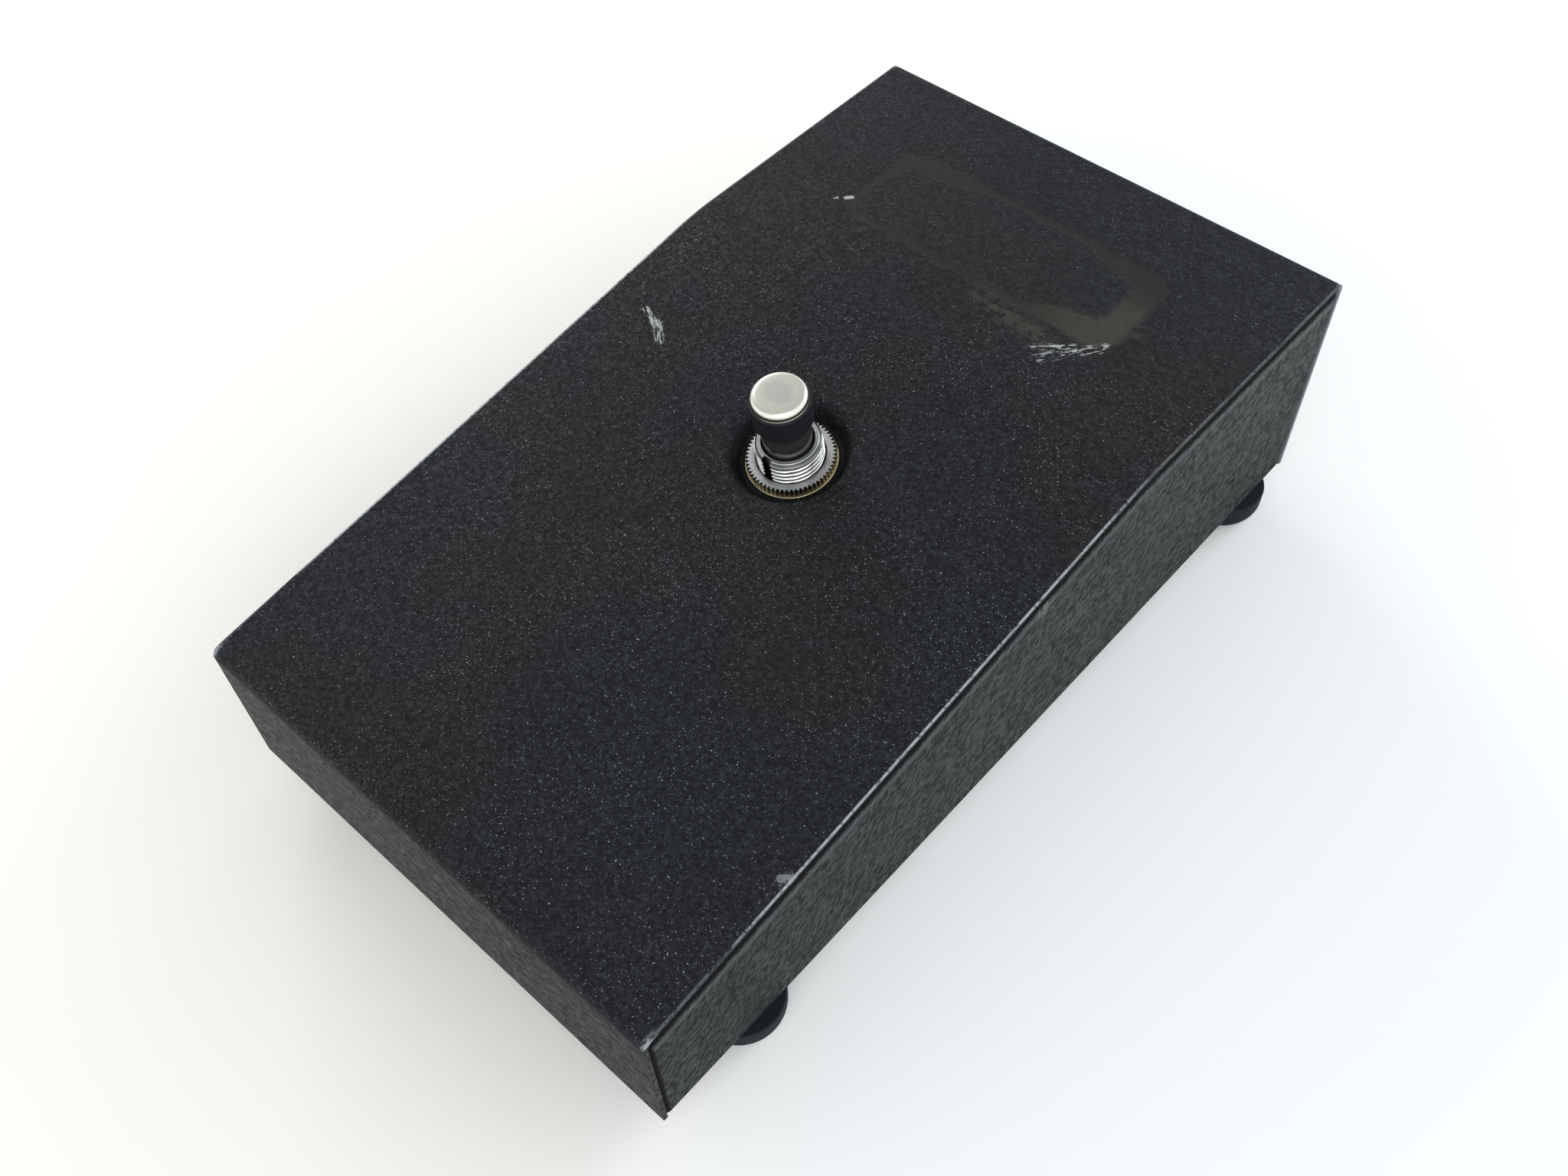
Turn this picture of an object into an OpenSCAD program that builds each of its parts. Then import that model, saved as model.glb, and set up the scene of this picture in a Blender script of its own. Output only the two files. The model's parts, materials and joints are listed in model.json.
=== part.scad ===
/* [Body] */
// Width of the body
body_w = 104; // [92:1:130]
// Length of the body, front face to rear face
body_l = 181.8; // [165:0.1:220]
// Height of the front face
front_h = 32.3; // [29:0.1:40]
// Height of the rear face
rear_h = 49; // [44:0.1:60]
// Distance from the front face to the bend in the top
bend_y = 120.2; // [112:0.1:145]
// Radius of the gentle bend in the top
bend_r = 75; // [20:5:90]
// Thickness of the cover and side sheet
sheet_t = 0.9; // [0.7:0.1:1.2]
// Outer radius of the cover's front and rear folds
fold_r = 2; // [2:0.1:4]
// Outer radius of the side panels' top bends
top_bend_r = 3; // [2:0.1:3.5]
// Outer radius of the side panels' other bends
flange_r = 1.3; // [1.3:0.1:2.5]
// Width of the side panels' flanges, from the outer face
flange_w = 11; // [10.5:0.5:14]
// Thickness of the base plate
plate_t = 1; // [0.8:0.1:1.5]
// How far the base plate stays inside the body's outline
plate_inset = 0.6; // [0.4:0.1:2]

/* [Feet] */
// Radius of a foot
foot_r = 8.25; // [7:0.05:10]
// Height of a foot
foot_h = 7; // [6:0.1:10]
// Radius of a foot's rounded bottom edge
foot_edge = 4; // [1:0.1:4]
// Distance from the body's side to a foot's axis
foot_in = 6.4; // [5.8:0.1:7.5]
// Distance from the front face to the front feet's axes
foot_front = 24; // [15:0.5:40]
// Distance from the rear face to the rear feet's axes
foot_rear = 11.1; // [10:0.1:30]

/* [Footswitch] */
// Distance from the front face to the footswitch
switch_y = 89.6; // [80:0.1:95]
// Depth of the dish that the footswitch stands in
dish_depth = 3.35; // [2.5:0.05:4.5]
// Radius of the dish at its rim
dish_rim_r = 11; // [10.8:0.1:12]
// Radius of the dish's flat floor
dish_floor_r = 9.2; // [9:0.1:9.6]
// Radius of the dish's soft lip
dish_lip_r = 2; // [1.3:0.1:2.5]
// Radius of the threaded sleeve
thread_r = 6; // [5.5:0.1:6.5]
// Height of the sleeve's end above the top
sleeve_up = 3; // [2:0.1:5]
// Height of the button's end above the top
button_up = 15.7; // [15:0.1:20]
// How far the button travels
travel = 3.5; // [2:0.1:4]
// Radius of the button's stem
stem_r = 4.35; // [4:0.05:4.4]
// Radius of the button's plastic sleeve
grip_r = 5.25; // [5:0.05:6]
// Radius of the button's metal cap
cap_r = 5; // [4.8:0.05:5.8]
// Thickness of the ring nut
ring_nut_t = 1.5; // [1.2:0.1:3]
// Radius of the ring nut over its teeth
ring_nut_r = 8; // [7.5:0.1:8.5]
// Number of teeth around the ring nut
ring_nut_teeth = 60; // [40:4:72]
// Thickness of the brass washer
washer_t = 0.45; // [0.3:0.05:1]

/* [Jacks] */
// Distance from the middle of the rear face to each jack
jack_x = 30; // [26:0.5:34]
// Height of the jacks and the level control above the body's bottom edge
rear_row_h = 23; // [20:0.5:26]
// Radius of a jack's bore
jack_bore_r = 3.2; // [3.2:0.05:3.3]
// Radius of a jack's threaded barrel
barrel_r = 4.7; // [4.5:0.1:5]
// How far a jack's barrel stands out of the rear face
barrel_out = 6.6; // [5:0.1:8]

/* [Level control] */
// Radius of the control's shaft
shaft_r = 3; // [2.5:0.1:3]
// Radius of the control's threaded bush
bush_r = 3.5; // [3.5:0.1:4]
// Radius of the control's metal can
can_r = 11.75; // [10:0.25:13]
// Depth of the control's metal can
can_h = 10; // [10:0.5:14]
// Radius of the knob's skirt
knob_r = 9.5; // [9:0.5:11]
// How far the knob's end stands out of the rear face
knob_out = 14.8; // [13:0.1:18]

/* [Circuit] */
// Width of the circuit board
board_w = 56; // [48:1:64]
// Depth of the circuit board, front to rear
board_l = 34; // [30:1:40]
// Distance from the front face to the board's middle
board_y = 34; // [26:1:38]
// Height of the spacers under the board
spacer_h = 6; // [4:0.5:8]
// Distance from the front face to the battery's middle
battery_y = 127; // [125:1:135]

/* [Hidden] */
$fn = 48;
e = 0.5;
contact_gap = 0.2;
run_gap = 0.05;
hole_gap = 0.15;

// The body's frame: X across, Y from the front face, Z from the bottom edge
slope = atan((rear_h - front_h) / bend_y);
body_z = foot_h + plate_t;
y_front = -(body_l + knob_out) / 2;
module in_body() { translate([0, y_front, body_z]) children(); }

// Screws
m3_r = 1.5;
m3_head_r = 2.8;
m3_head_h = 2;
m3_nut_af = 5.5;
m3_nut_t = 2.4;
m25_r = 1.25;
m25_head_r = 2.3;
m25_head_h = 1.6;
m25_nut_af = 5;
m25_nut_t = 2;
m3_washer_r = 3.5;
m3_washer_t = 0.5;

// ---- Shared shapes ----
function unit(v) = v / norm(v);

// Points of an arc of radius r that rounds the corner q between p and s
function fillet(p, q, s, r, n) =
  let (u = unit(p - q), v = unit(s - q), h = acos(u * v) / 2)
  let (c = q + unit(u + v) * r / sin(h), d = r / tan(h))
  let (f = q + u * d - c, g = q + v * d - c)
  let (a = atan2(f.y, f.x), turn = (atan2(g.y, g.x) - a + 540) % 360 - 180)
  [for (k = [0:n]) c + r * [cos(a + turn * k / n), sin(a + turn * k / n)]];

module tube(r, bore, h) {
  difference() {
    cylinder(r = r, h = h);
    translate([0, 0, -e]) cylinder(r = bore, h = h + 2 * e);
  }
}

module hex_nut(af, bore, t) {
  difference() {
    cylinder(d = af / cos(30), h = t, $fn = 6);
    translate([0, 0, -e]) cylinder(r = bore, h = t + 2 * e);
  }
}

module screw(r, head_r, head_h, length) {
  translate([0, 0, -head_h]) cylinder(r = head_r, h = head_h);
  translate([0, 0, -e]) cylinder(r = r, h = length + e);
}

module rounded_rect(w, l, r) {
  square([w - 2 * r, l], center = true);
  square([w, l - 2 * r], center = true);
  for (x = [-1, 1], y = [-1, 1]) translate([x * (w / 2 - r), y * (l / 2 - r)]) circle(r);
}

// ---- Enclosure ----
// The body's side outline, moved inwards by d, in Y and Z
fold_steps = 8;
bend_steps = 10;
function corners(d) = [
  [d, front_h + d * tan(slope) - d / cos(slope)],
  [bend_y + d * tan(slope / 2), rear_h - d],
  [body_l - d, rear_h - d]
];
least_fold_r = 0.1;
function outline(d, low) =
  let (c = corners(d), a = [d, low], b = [body_l - d, low], r = max(fold_r - d, least_fold_r))
  concat([a], fillet(a, c[0], c[1], r, fold_steps),
    fillet(c[0], c[1], c[2], bend_r - d, bend_steps),
    fillet(c[1], c[2], b, r, fold_steps), [b]);

module across(x0, x1) {
  translate([x0, 0, 0]) rotate([90, 0, 90]) linear_extrude(x1 - x0) children();
}

// A frame on the sloping top at distance y from the front, Z pointing out
module on_slope(y) {
  translate([0, y, front_h + y * tan(slope)]) rotate([slope, 0, 0]) children();
}

// A frame on the rear face, Z pointing out and Y pointing down
module on_rear(x) {
  translate([x, body_l, rear_row_h]) rotate([-90, 0, 0]) children();
}

// The dish's section at depth d inside its outer face, from the rim to the hole
dish_a = atan2(dish_depth, dish_rim_r - dish_floor_r);
dish_far_r = dish_rim_r + dish_lip_r;
dish_root_r = 0.8;
switch_hole_r = thread_r + hole_gap;
lip_steps = 8;
function dish_line(d) =
  let (k = d * tan(dish_a / 2))
  let (p = [dish_far_r, -d], q = [dish_rim_r + k, -d])
  let (s = [dish_floor_r + k, -dish_depth - d], t = [switch_hole_r, -dish_depth - d])
  concat([p], fillet(p, q, s, dish_lip_r - d, lip_steps),
    fillet(q, s, t, dish_root_r + d, lip_steps), [t]);
function backwards(list) = [for (k = [len(list) - 1:-1:0]) list[k]];

module cover_shell() {
  color("#26282f") in_body() {
    difference() {
      across(-body_w / 2, body_w / 2) difference() {
        polygon(outline(0, 0));
        polygon(outline(sheet_t, -e));
      }
      on_slope(switch_y) translate([0, 0, -2 * sheet_t]) {
        cylinder(r = dish_far_r - e / 2, h = 4 * sheet_t);
      }
      for (x = [-jack_x, jack_x]) on_rear(x) translate([0, 0, -2 * sheet_t]) {
        cylinder(r = barrel_r + hole_gap, h = 4 * sheet_t);
      }
      on_rear(0) translate([0, 0, -2 * sheet_t]) cylinder(r = bush_r + hole_gap, h = 4 * sheet_t);
    }
    on_slope(switch_y) rotate_extrude() {
      polygon(concat(dish_line(0), backwards(dish_line(sheet_t))));
    }
  }
}

// Takes the sharp corner off an upright side at x, along its edge from p to q in Y and Z
module edge_round(p, q, x, r) {
  run = norm(q - p);
  translate([x, p.x, p.y]) rotate([atan2(q.y - p.y, q.x - p.x), 0, 0]) {
    translate([-r, -e, -r]) difference() {
      cube([r + e, run + 2 * e, r + e]);
      translate([0, -e, 0]) rotate([-90, 0, 0]) cylinder(r = r, h = run + 4 * e);
    }
  }
}

// A side panel's outer form moved inwards by d, from x0 out to its upright face
module side_form(d, x0) {
  c = corners(sheet_t + d);
  far_y = body_l - sheet_t - d;
  edges = [
    [[sheet_t + d, d], c[0], flange_r],
    [c[0], c[1], top_bend_r],
    [c[1], c[2], top_bend_r],
    [c[2], [far_y, d], flange_r],
    [[far_y, d], [sheet_t + d, d], flange_r]
  ];
  difference() {
    across(x0, body_w / 2 - d) polygon(outline(sheet_t + d, d));
    for (g = edges) edge_round(g[0], g[1], body_w / 2 - d, g[2] - d);
  }
}

foot_x = body_w / 2 - foot_in;
foot_places = [foot_front, body_l - foot_rear];
base_screw_y = (foot_places[0] + foot_places[1]) / 2;
base_screw_r = 1.45;
base_screw_l = 7;

module side_panel() {
  difference() {
    side_form(0, body_w / 2 - flange_w);
    side_form(sheet_t, body_w / 2 - flange_w - e);
    for (y = foot_places) translate([foot_x, y, -e]) cylinder(r = m3_r + hole_gap, h = sheet_t + 2 * e);
    translate([foot_x, base_screw_y, -e]) cylinder(r = base_screw_r, h = sheet_t + 2 * e);
  }
}

module side_panel_right() { color("#3b403f") in_body() side_panel(); }
module side_panel_left() { color("#3b403f") in_body() mirror([1, 0, 0]) side_panel(); }

plate_corner_r = 3;
board_hole_in = 4;
board_holes = [
  for (x = [-1, 1], y = [-1, 1])
    [x * (board_w / 2 - board_hole_in), board_y + y * (board_l / 2 - board_hole_in)]
];

module base_plate() {
  color("#33363a") in_body() translate([0, 0, -plate_t]) difference() {
    translate([0, body_l / 2, 0]) linear_extrude(plate_t) {
      rounded_rect(body_w - 2 * plate_inset, body_l - 2 * plate_inset, plate_corner_r);
    }
    for (x = [-foot_x, foot_x]) {
      for (y = foot_places) translate([x, y, -e]) cylinder(r = m3_r + hole_gap, h = plate_t + 2 * e);
      translate([x, base_screw_y, -e]) cylinder(r = base_screw_r + hole_gap, h = plate_t + 2 * e);
    }
    for (p = board_holes) translate([p.x, p.y, -e]) cylinder(r = m25_r + hole_gap, h = plate_t + 2 * e);
  }
}

module base_screws() {
  color("silver") in_body() for (x = [-foot_x, foot_x]) translate([x, base_screw_y, -plate_t]) {
    screw(base_screw_r, m3_head_r, m3_head_h, base_screw_l);
  }
}

// ---- Feet ----
foot_seat = 3;
head_gap = 0.3;
foot_recess_r = m3_head_r + head_gap;
module foot(x, y) {
  edge = fillet([foot_recess_r, 0], [foot_r, 0], [foot_r, foot_h], foot_edge, lip_steps);
  color("#1b1c1f") in_body() translate([x, y, -body_z]) rotate_extrude() {
    polygon(concat([[foot_recess_r, 0]], edge, [
      [foot_r, foot_h],
      [m3_r + hole_gap, foot_h],
      [m3_r + hole_gap, foot_seat],
      [foot_recess_r, foot_seat]
    ]));
  }
}
module foot_front_left() { foot(-foot_x, foot_places[0]); }
module foot_front_right() { foot(foot_x, foot_places[0]); }
module foot_rear_left() { foot(-foot_x, foot_places[1]); }
module foot_rear_right() { foot(foot_x, foot_places[1]); }

module at_feet() {
  in_body() for (x = [-foot_x, foot_x], y = foot_places) translate([x, y, 0]) children();
}
foot_stack = sheet_t + m3_washer_t + m3_nut_t;
screw_over = 1;
foot_screw_l = body_z - foot_seat + foot_stack + screw_over;
module foot_screws() {
  color("silver") at_feet() translate([0, 0, foot_seat - body_z]) {
    screw(m3_r, m3_head_r, m3_head_h, foot_screw_l);
  }
}
module foot_washers() {
  color("silver") at_feet() translate([0, 0, sheet_t]) {
    tube(m3_washer_r, m3_r + hole_gap, m3_washer_t);
  }
}
module foot_nuts() {
  color("gold") at_feet() translate([0, 0, sheet_t + m3_washer_t]) {
    hex_nut(m3_nut_af, m3_r + run_gap, m3_nut_t);
  }
}

// ---- Footswitch: heights are measured from the sloping top, along its normal ----
floor_z = -dish_depth;
under_z = floor_z - sheet_t;
ring_nut_z = floor_z + washer_t;
washer_r = ring_nut_r + 0.3;
back_nut_t = 2.2;
back_nut_af = 2 * thread_r + 4;
case_gap = 0.5;
case_top_z = under_z - back_nut_t - case_gap;
case_w = 18;
case_l = 24;
case_h = 14;
case_t = 0.8;
bushing_flange_t = 1.2;
bushing_flange_r = thread_r + 1.5;
bore_r = stem_r + run_gap;
mouth_gap = 0.25;
mouth_r = bore_r + mouth_gap;
mouth_h = 2;
key_w = 1.9;
key_d = 1;
flange_z = case_top_z - case_t - bushing_flange_t;

module switch_bushing() {
  color("silver") in_body() on_slope(switch_y) difference() {
    union() {
      translate([0, 0, flange_z + bushing_flange_t]) {
        cylinder(r = thread_r, h = sleeve_up - flange_z - bushing_flange_t);
      }
      translate([0, 0, flange_z]) cylinder(r = bushing_flange_r, h = bushing_flange_t);
    }
    translate([0, 0, flange_z - e]) cylinder(r = bore_r, h = sleeve_up - flange_z + 2 * e);
    translate([0, 0, sleeve_up - mouth_h]) cylinder(r = mouth_r, h = mouth_h + e);
    translate([-key_w / 2, -thread_r - e, case_top_z + e]) {
      cube([key_w, key_d + e, sleeve_up - case_top_z]);
    }
  }
}

tooth_h = 0.45;
module switch_ring_nut() {
  color("silver") in_body() on_slope(switch_y) translate([0, 0, ring_nut_z]) difference() {
    linear_extrude(ring_nut_t) polygon([
      for (k = [0:2 * ring_nut_teeth - 1])
        let (a = 180 * k / ring_nut_teeth, r = ring_nut_r - (k % 2) * tooth_h)
        [r * cos(a), r * sin(a)]
    ]);
    translate([0, 0, -e]) cylinder(r = thread_r + run_gap, h = ring_nut_t + 2 * e);
  }
}

module switch_washer() {
  color("goldenrod") in_body() on_slope(switch_y) translate([0, 0, floor_z]) {
    tube(washer_r, thread_r + hole_gap, washer_t);
  }
}

module switch_back_nut() {
  color("silver") in_body() on_slope(switch_y) translate([0, 0, under_z - back_nut_t]) {
    hex_nut(back_nut_af, thread_r + run_gap, back_nut_t);
  }
}

module switch_case() {
  color("gray") in_body() on_slope(switch_y) difference() {
    translate([-case_w / 2, -case_l / 2, case_top_z - case_h]) cube([case_w, case_l, case_h]);
    translate([case_t - case_w / 2, case_t - case_l / 2, case_top_z - case_h - e]) {
      cube([case_w - 2 * case_t, case_l - 2 * case_t, case_h - case_t + e]);
    }
    translate([0, 0, case_top_z - 2 * case_t]) cylinder(r = thread_r, h = 4 * case_t);
  }
}

base_t = 3;
base_top_z = case_top_z - case_h + base_t;
boss_r = 4.4;
boss_h = 1.8;
lug_x = 5;
lug_rows = [-7.5, 0, 7.5];
lug_t = 0.6;
lug_w = 2.2;
lug_in = 2;
lug_out = 4.5;
module at_lugs() {
  for (x = [-lug_x, lug_x], y = lug_rows) translate([x, y, base_top_z - base_t]) children();
}
module switch_base() {
  color("sienna") in_body() on_slope(switch_y) difference() {
    union() {
      translate([case_t - case_w / 2, case_t - case_l / 2, base_top_z - base_t]) {
        cube([case_w - 2 * case_t, case_l - 2 * case_t, base_t]);
      }
      translate([0, 0, base_top_z - e]) cylinder(r = boss_r, h = boss_h + e);
    }
    at_lugs() translate([-lug_t / 2, -lug_w / 2, -e]) cube([lug_t, lug_w, lug_in + e]);
  }
}

lug_hole_r = 0.6;
module switch_lugs() {
  color("silver") in_body() on_slope(switch_y) at_lugs() difference() {
    translate([-lug_t / 2, -lug_w / 2, -lug_out]) cube([lug_t, lug_w, lug_in + lug_out]);
    translate([0, 0, lug_hole_r * 2 - lug_out]) rotate([0, 90, 0]) {
      cylinder(r = lug_hole_r, h = lug_w, center = true);
    }
  }
}

// The button: stem and collar, plastic sleeve, metal cap
collar_t = 1.4;
collar_r = 5.5;
collar_top_z = flange_z - contact_gap;
collar_z = collar_top_z - collar_t;
grip_clear = 2.1;
grip_z = sleeve_up + travel + grip_clear;
cap_t = 0.35;
cap_skirt = 1.9;
cap_edge_r = 1;
spigot_r = 2.6;
spigot_in = 1;
spigot_z = button_up - cap_t - spigot_in;
pilot_r = 2.4;
pilot_h = 1.4;
module plunger_stem() {
  color("#17181a") in_body() on_slope(switch_y) {
    translate([0, 0, collar_top_z - e]) cylinder(r = stem_r, h = grip_z - collar_top_z + e);
    translate([0, 0, grip_z - e]) cylinder(r = spigot_r, h = spigot_z - grip_z + e);
    translate([0, 0, collar_z]) cylinder(r = collar_r, h = collar_t);
    translate([0, 0, collar_z - pilot_h]) cylinder(r = pilot_r, h = pilot_h + e);
  }
}

module plunger_sleeve() {
  color("#1d1f22") in_body() on_slope(switch_y) difference() {
    union() {
      translate([0, 0, grip_z]) cylinder(r = grip_r, h = button_up - cap_skirt - grip_z);
      translate([0, 0, grip_z]) cylinder(r = cap_r - cap_t, h = button_up - cap_edge_r - grip_z);
    }
    translate([0, 0, grip_z - e]) cylinder(r = spigot_r, h = spigot_z - grip_z + e);
  }
}

module plunger_cap() {
  low = button_up - cap_skirt;
  inner_r = cap_r - cap_t;
  roof = button_up - cap_edge_r;
  edge = fillet([cap_r, low], [cap_r, button_up], [0, button_up], cap_edge_r, lip_steps);
  color("gainsboro") in_body() on_slope(switch_y) rotate_extrude() {
    polygon(concat([[inner_r, low], [cap_r, low]], edge, [[0, button_up], [0, roof], [inner_r, roof]]));
  }
}

// The spring stands on the base's boss and holds the collar up
spring_r = 3.3;
spring_wire_r = 0.3;
spring_turns = 5;
spring_steps = 16;
spring_low = base_top_z + boss_h + spring_wire_r;
spring_high = collar_z - spring_wire_r;

// A closed tube of n sides around the points, with flat ends
function tangent(p, k) = unit(p[min(k + 1, len(p) - 1)] - p[max(k - 1, 0)]);
function side_of(t) = unit(cross(t, abs(t.z) < 0.8 ? [0, 0, 1] : [1, 0, 0]));
module sweep(p, r, n) {
  rings = [
    for (k = [0:len(p) - 1], m = [0:n - 1])
      let (t = tangent(p, k), u = side_of(t), v = cross(t, u), a = 360 * m / n)
      p[k] + r * (u * cos(a) + v * sin(a))
  ];
  walls = [
    for (k = [0:len(p) - 2], m = [0:n - 1])
      let (a = k * n + m, b = k * n + (m + 1) % n)
      [a, b, b + n, a + n]
  ];
  first = [for (m = [n - 1:-1:0]) m];
  last = [for (m = [0:n - 1]) (len(p) - 1) * n + m];
  polyhedron(points = rings, faces = concat([first], walls, [last]), convexity = 8);
}

module switch_spring() {
  steps = spring_turns * spring_steps;
  color("silver") in_body() on_slope(switch_y) sweep([
    for (k = [0:steps])
      let (a = 360 * k / spring_steps, z = spring_low + (spring_high - spring_low) * k / steps)
      [spring_r * cos(a), spring_r * sin(a), z]
  ], spring_wire_r, 6);
}

rotor_t = 1.1;
rotor_r = 7.2;
rotor_teeth = 8;
rotor_tooth = [1.4, 1, 0.6];
rotor_tooth_in = 0.8;
module contact_rotor() {
  color("darkgoldenrod") in_body() on_slope(switch_y) {
    translate([0, 0, base_top_z + contact_gap]) {
      tube(rotor_r, boss_r + run_gap, rotor_t);
      for (k = [0:rotor_teeth - 1]) rotate([0, 0, 360 * k / rotor_teeth]) {
        translate([boss_r + rotor_tooth_in, -rotor_tooth.y / 2, rotor_t - e]) {
          cube([rotor_tooth.x, rotor_tooth.y, rotor_tooth.z + e]);
        }
      }
    }
  }
}

// ---- Jacks: depths are measured from the rear face, along its normal ----
jack_flange_t = 1.2;
jack_flange_r = 7.2;
frame_t = 1;
frame_w = 16;
arm_w = 8;
arm_y = 9;
arm_l = 16;
jack_back = -sheet_t - jack_flange_t;
frame_back = jack_back - frame_t;
jack_washer_t = 0.6;
jack_nut_af = 12.7;
jack_nut_t = 2.4;
stack_l = 10;
leaf_t = 0.5;
leaf_y = 6;
leaf_w = 4;
stack_z = frame_back - arm_l;

module jack_bushing() {
  color("silver") difference() {
    union() {
      translate([0, 0, frame_back]) cylinder(r = barrel_r, h = barrel_out - frame_back);
      translate([0, 0, jack_back]) cylinder(r = jack_flange_r, h = jack_flange_t);
    }
    translate([0, 0, frame_back - e]) cylinder(r = jack_bore_r, h = barrel_out - frame_back + 2 * e);
  }
}
module jack_frame() {
  color("gray") {
    difference() {
      translate([-frame_w / 2, -frame_w / 2, frame_back]) {
        cube([frame_w, frame_w / 2 + arm_y + frame_t, frame_t]);
      }
      translate([0, 0, frame_back - e]) cylinder(r = barrel_r, h = frame_t + 2 * e);
    }
    translate([-arm_w / 2, arm_y, stack_z]) cube([arm_w, frame_t, arm_l + e]);
  }
}
module jack_insulator() {
  color("sienna") translate([-arm_w / 2, leaf_y, stack_z]) cube([arm_w, arm_y - leaf_y, stack_l]);
}
tail_l = 3.5;
tail_z = stack_z + stack_l + tail_l;
leaf_bend_z = stack_z - 1;
tip_z = stack_z - 4.4;
tip_y = jack_bore_r + 0.3;
hook_h = 2;
hook_y = tip_y + 1.1;
module jack_tip_spring() {
  color("gold") translate([-leaf_w / 2, 0, 0]) rotate([90, 0, 90]) linear_extrude(leaf_w) polygon([
    [leaf_y, tail_z],
    [leaf_y, leaf_bend_z],
    [tip_y + leaf_t, tip_z],
    [hook_y + leaf_t, tip_z - hook_h],
    [hook_y, tip_z - hook_h],
    [tip_y, tip_z],
    [leaf_y - leaf_t, leaf_bend_z],
    [leaf_y - leaf_t, tail_z]
  ]);
}
module jack_washer() { color("silver") tube(jack_flange_r, barrel_r + hole_gap, jack_washer_t); }
module jack_nut() {
  color("silver") translate([0, 0, jack_washer_t]) hex_nut(jack_nut_af, barrel_r + run_gap, jack_nut_t);
}

module input_bushing() { in_body() on_rear(jack_x) jack_bushing(); }
module input_frame() { in_body() on_rear(jack_x) jack_frame(); }
module input_insulator() { in_body() on_rear(jack_x) jack_insulator(); }
module input_tip_spring() { in_body() on_rear(jack_x) jack_tip_spring(); }
module input_nut() { in_body() on_rear(jack_x) jack_nut(); }
module input_washer() { in_body() on_rear(jack_x) jack_washer(); }
module output_bushing() { in_body() on_rear(-jack_x) jack_bushing(); }
module output_frame() { in_body() on_rear(-jack_x) jack_frame(); }
module output_insulator() { in_body() on_rear(-jack_x) jack_insulator(); }
module output_tip_spring() { in_body() on_rear(-jack_x) jack_tip_spring(); }
module output_nut() { in_body() on_rear(-jack_x) jack_nut(); }
module output_washer() { in_body() on_rear(-jack_x) jack_washer(); }

// ---- Level control ----
can_t = 0.6;
can_front_t = 1;
bush_out = 5.2;
can_front_z = -sheet_t;
can_back_z = can_front_z - can_h;
wafer_t = 1.2;
wafer_down = 2.6;
wafer_z = can_front_z - can_front_t - wafer_down;
wafer_tab_w = 14;
wafer_tab_out = 2;
wafer_tab_y = can_r + wafer_tab_out;
wafer_gap = 0.6;
pot_washer_t = 0.5;
pot_washer_rim = 2.5;
pot_washer_r = bush_r + pot_washer_rim;
pot_nut_wall = 1.5;
pot_nut_af = 2 * (bush_r + pot_nut_wall);
pot_nut_t = 2;
shaft_low_gap = 1;
shaft_low = can_back_z + can_t + shaft_low_gap;
knob_end_t = 1.6;
shaft_top = knob_out - knob_end_t;

module pot_bushing() {
  color("silver") in_body() on_rear(0) translate([0, 0, can_front_z - can_front_t]) {
    tube(bush_r, shaft_r + run_gap, bush_out - can_front_z + can_front_t);
  }
}
module pot_case() {
  color("silver") in_body() on_rear(0) difference() {
    translate([0, 0, can_back_z]) cylinder(r = can_r, h = can_h);
    translate([0, 0, can_back_z + can_t]) cylinder(r = can_r - can_t, h = can_h - can_t - can_front_t);
    translate([0, 0, can_front_z - 2 * can_front_t]) cylinder(r = bush_r, h = 3 * can_front_t);
    translate([-wafer_tab_w / 2 - hole_gap, 0, wafer_z - hole_gap]) {
      cube([wafer_tab_w + 2 * hole_gap, can_r + e, wafer_t + 2 * hole_gap]);
    }
  }
}
module pot_wafer() {
  color("sienna") in_body() on_rear(0) translate([0, 0, wafer_z]) difference() {
    union() {
      cylinder(r = can_r - can_t, h = wafer_t);
      translate([-wafer_tab_w / 2, 0, 0]) cube([wafer_tab_w, wafer_tab_y, wafer_t]);
    }
    translate([0, 0, -e]) cylinder(r = shaft_r + wafer_gap, h = wafer_t + 2 * e);
  }
}
pot_lug_w = 2.4;
pot_lug_t = 0.5;
pot_lug_l = 6;
pot_lug_in = 1.5;
pot_lug_z = wafer_z - pot_lug_t;
pot_lug_pitch = 5;
module pot_lugs() {
  color("silver") in_body() on_rear(0) for (x = [-pot_lug_pitch, 0, pot_lug_pitch]) {
    translate([x - pot_lug_w / 2, wafer_tab_y - pot_lug_in, pot_lug_z]) {
      cube([pot_lug_w, pot_lug_l, pot_lug_t]);
    }
  }
}
module pot_washer() {
  color("silver") in_body() on_rear(0) tube(pot_washer_r, bush_r + hole_gap, pot_washer_t);
}
module pot_nut() {
  color("silver") in_body() on_rear(0) translate([0, 0, pot_washer_t]) {
    hex_nut(pot_nut_af, bush_r + run_gap, pot_nut_t);
  }
}
module pot_shaft() {
  color("silver") in_body() on_rear(0) translate([0, 0, shaft_low]) {
    cylinder(r = shaft_r, h = shaft_top - shaft_low);
  }
}
wiper_t = 0.8;
wiper_z = wafer_z - 2 * contact_gap - wiper_t;
wiper_r = 7.5;
wiper_w = 2;
wiper_hub = 1.2;
module pot_wiper() {
  color("gold") in_body() on_rear(0) translate([0, 0, wiper_z]) difference() {
    union() {
      cylinder(r = shaft_r + wiper_hub, h = wiper_t);
      translate([-wiper_w / 2, -wiper_r, 0]) cube([wiper_w, wiper_r, wiper_t]);
    }
    translate([0, 0, -e]) cylinder(r = shaft_r, h = wiper_t + 2 * e);
  }
}

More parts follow.
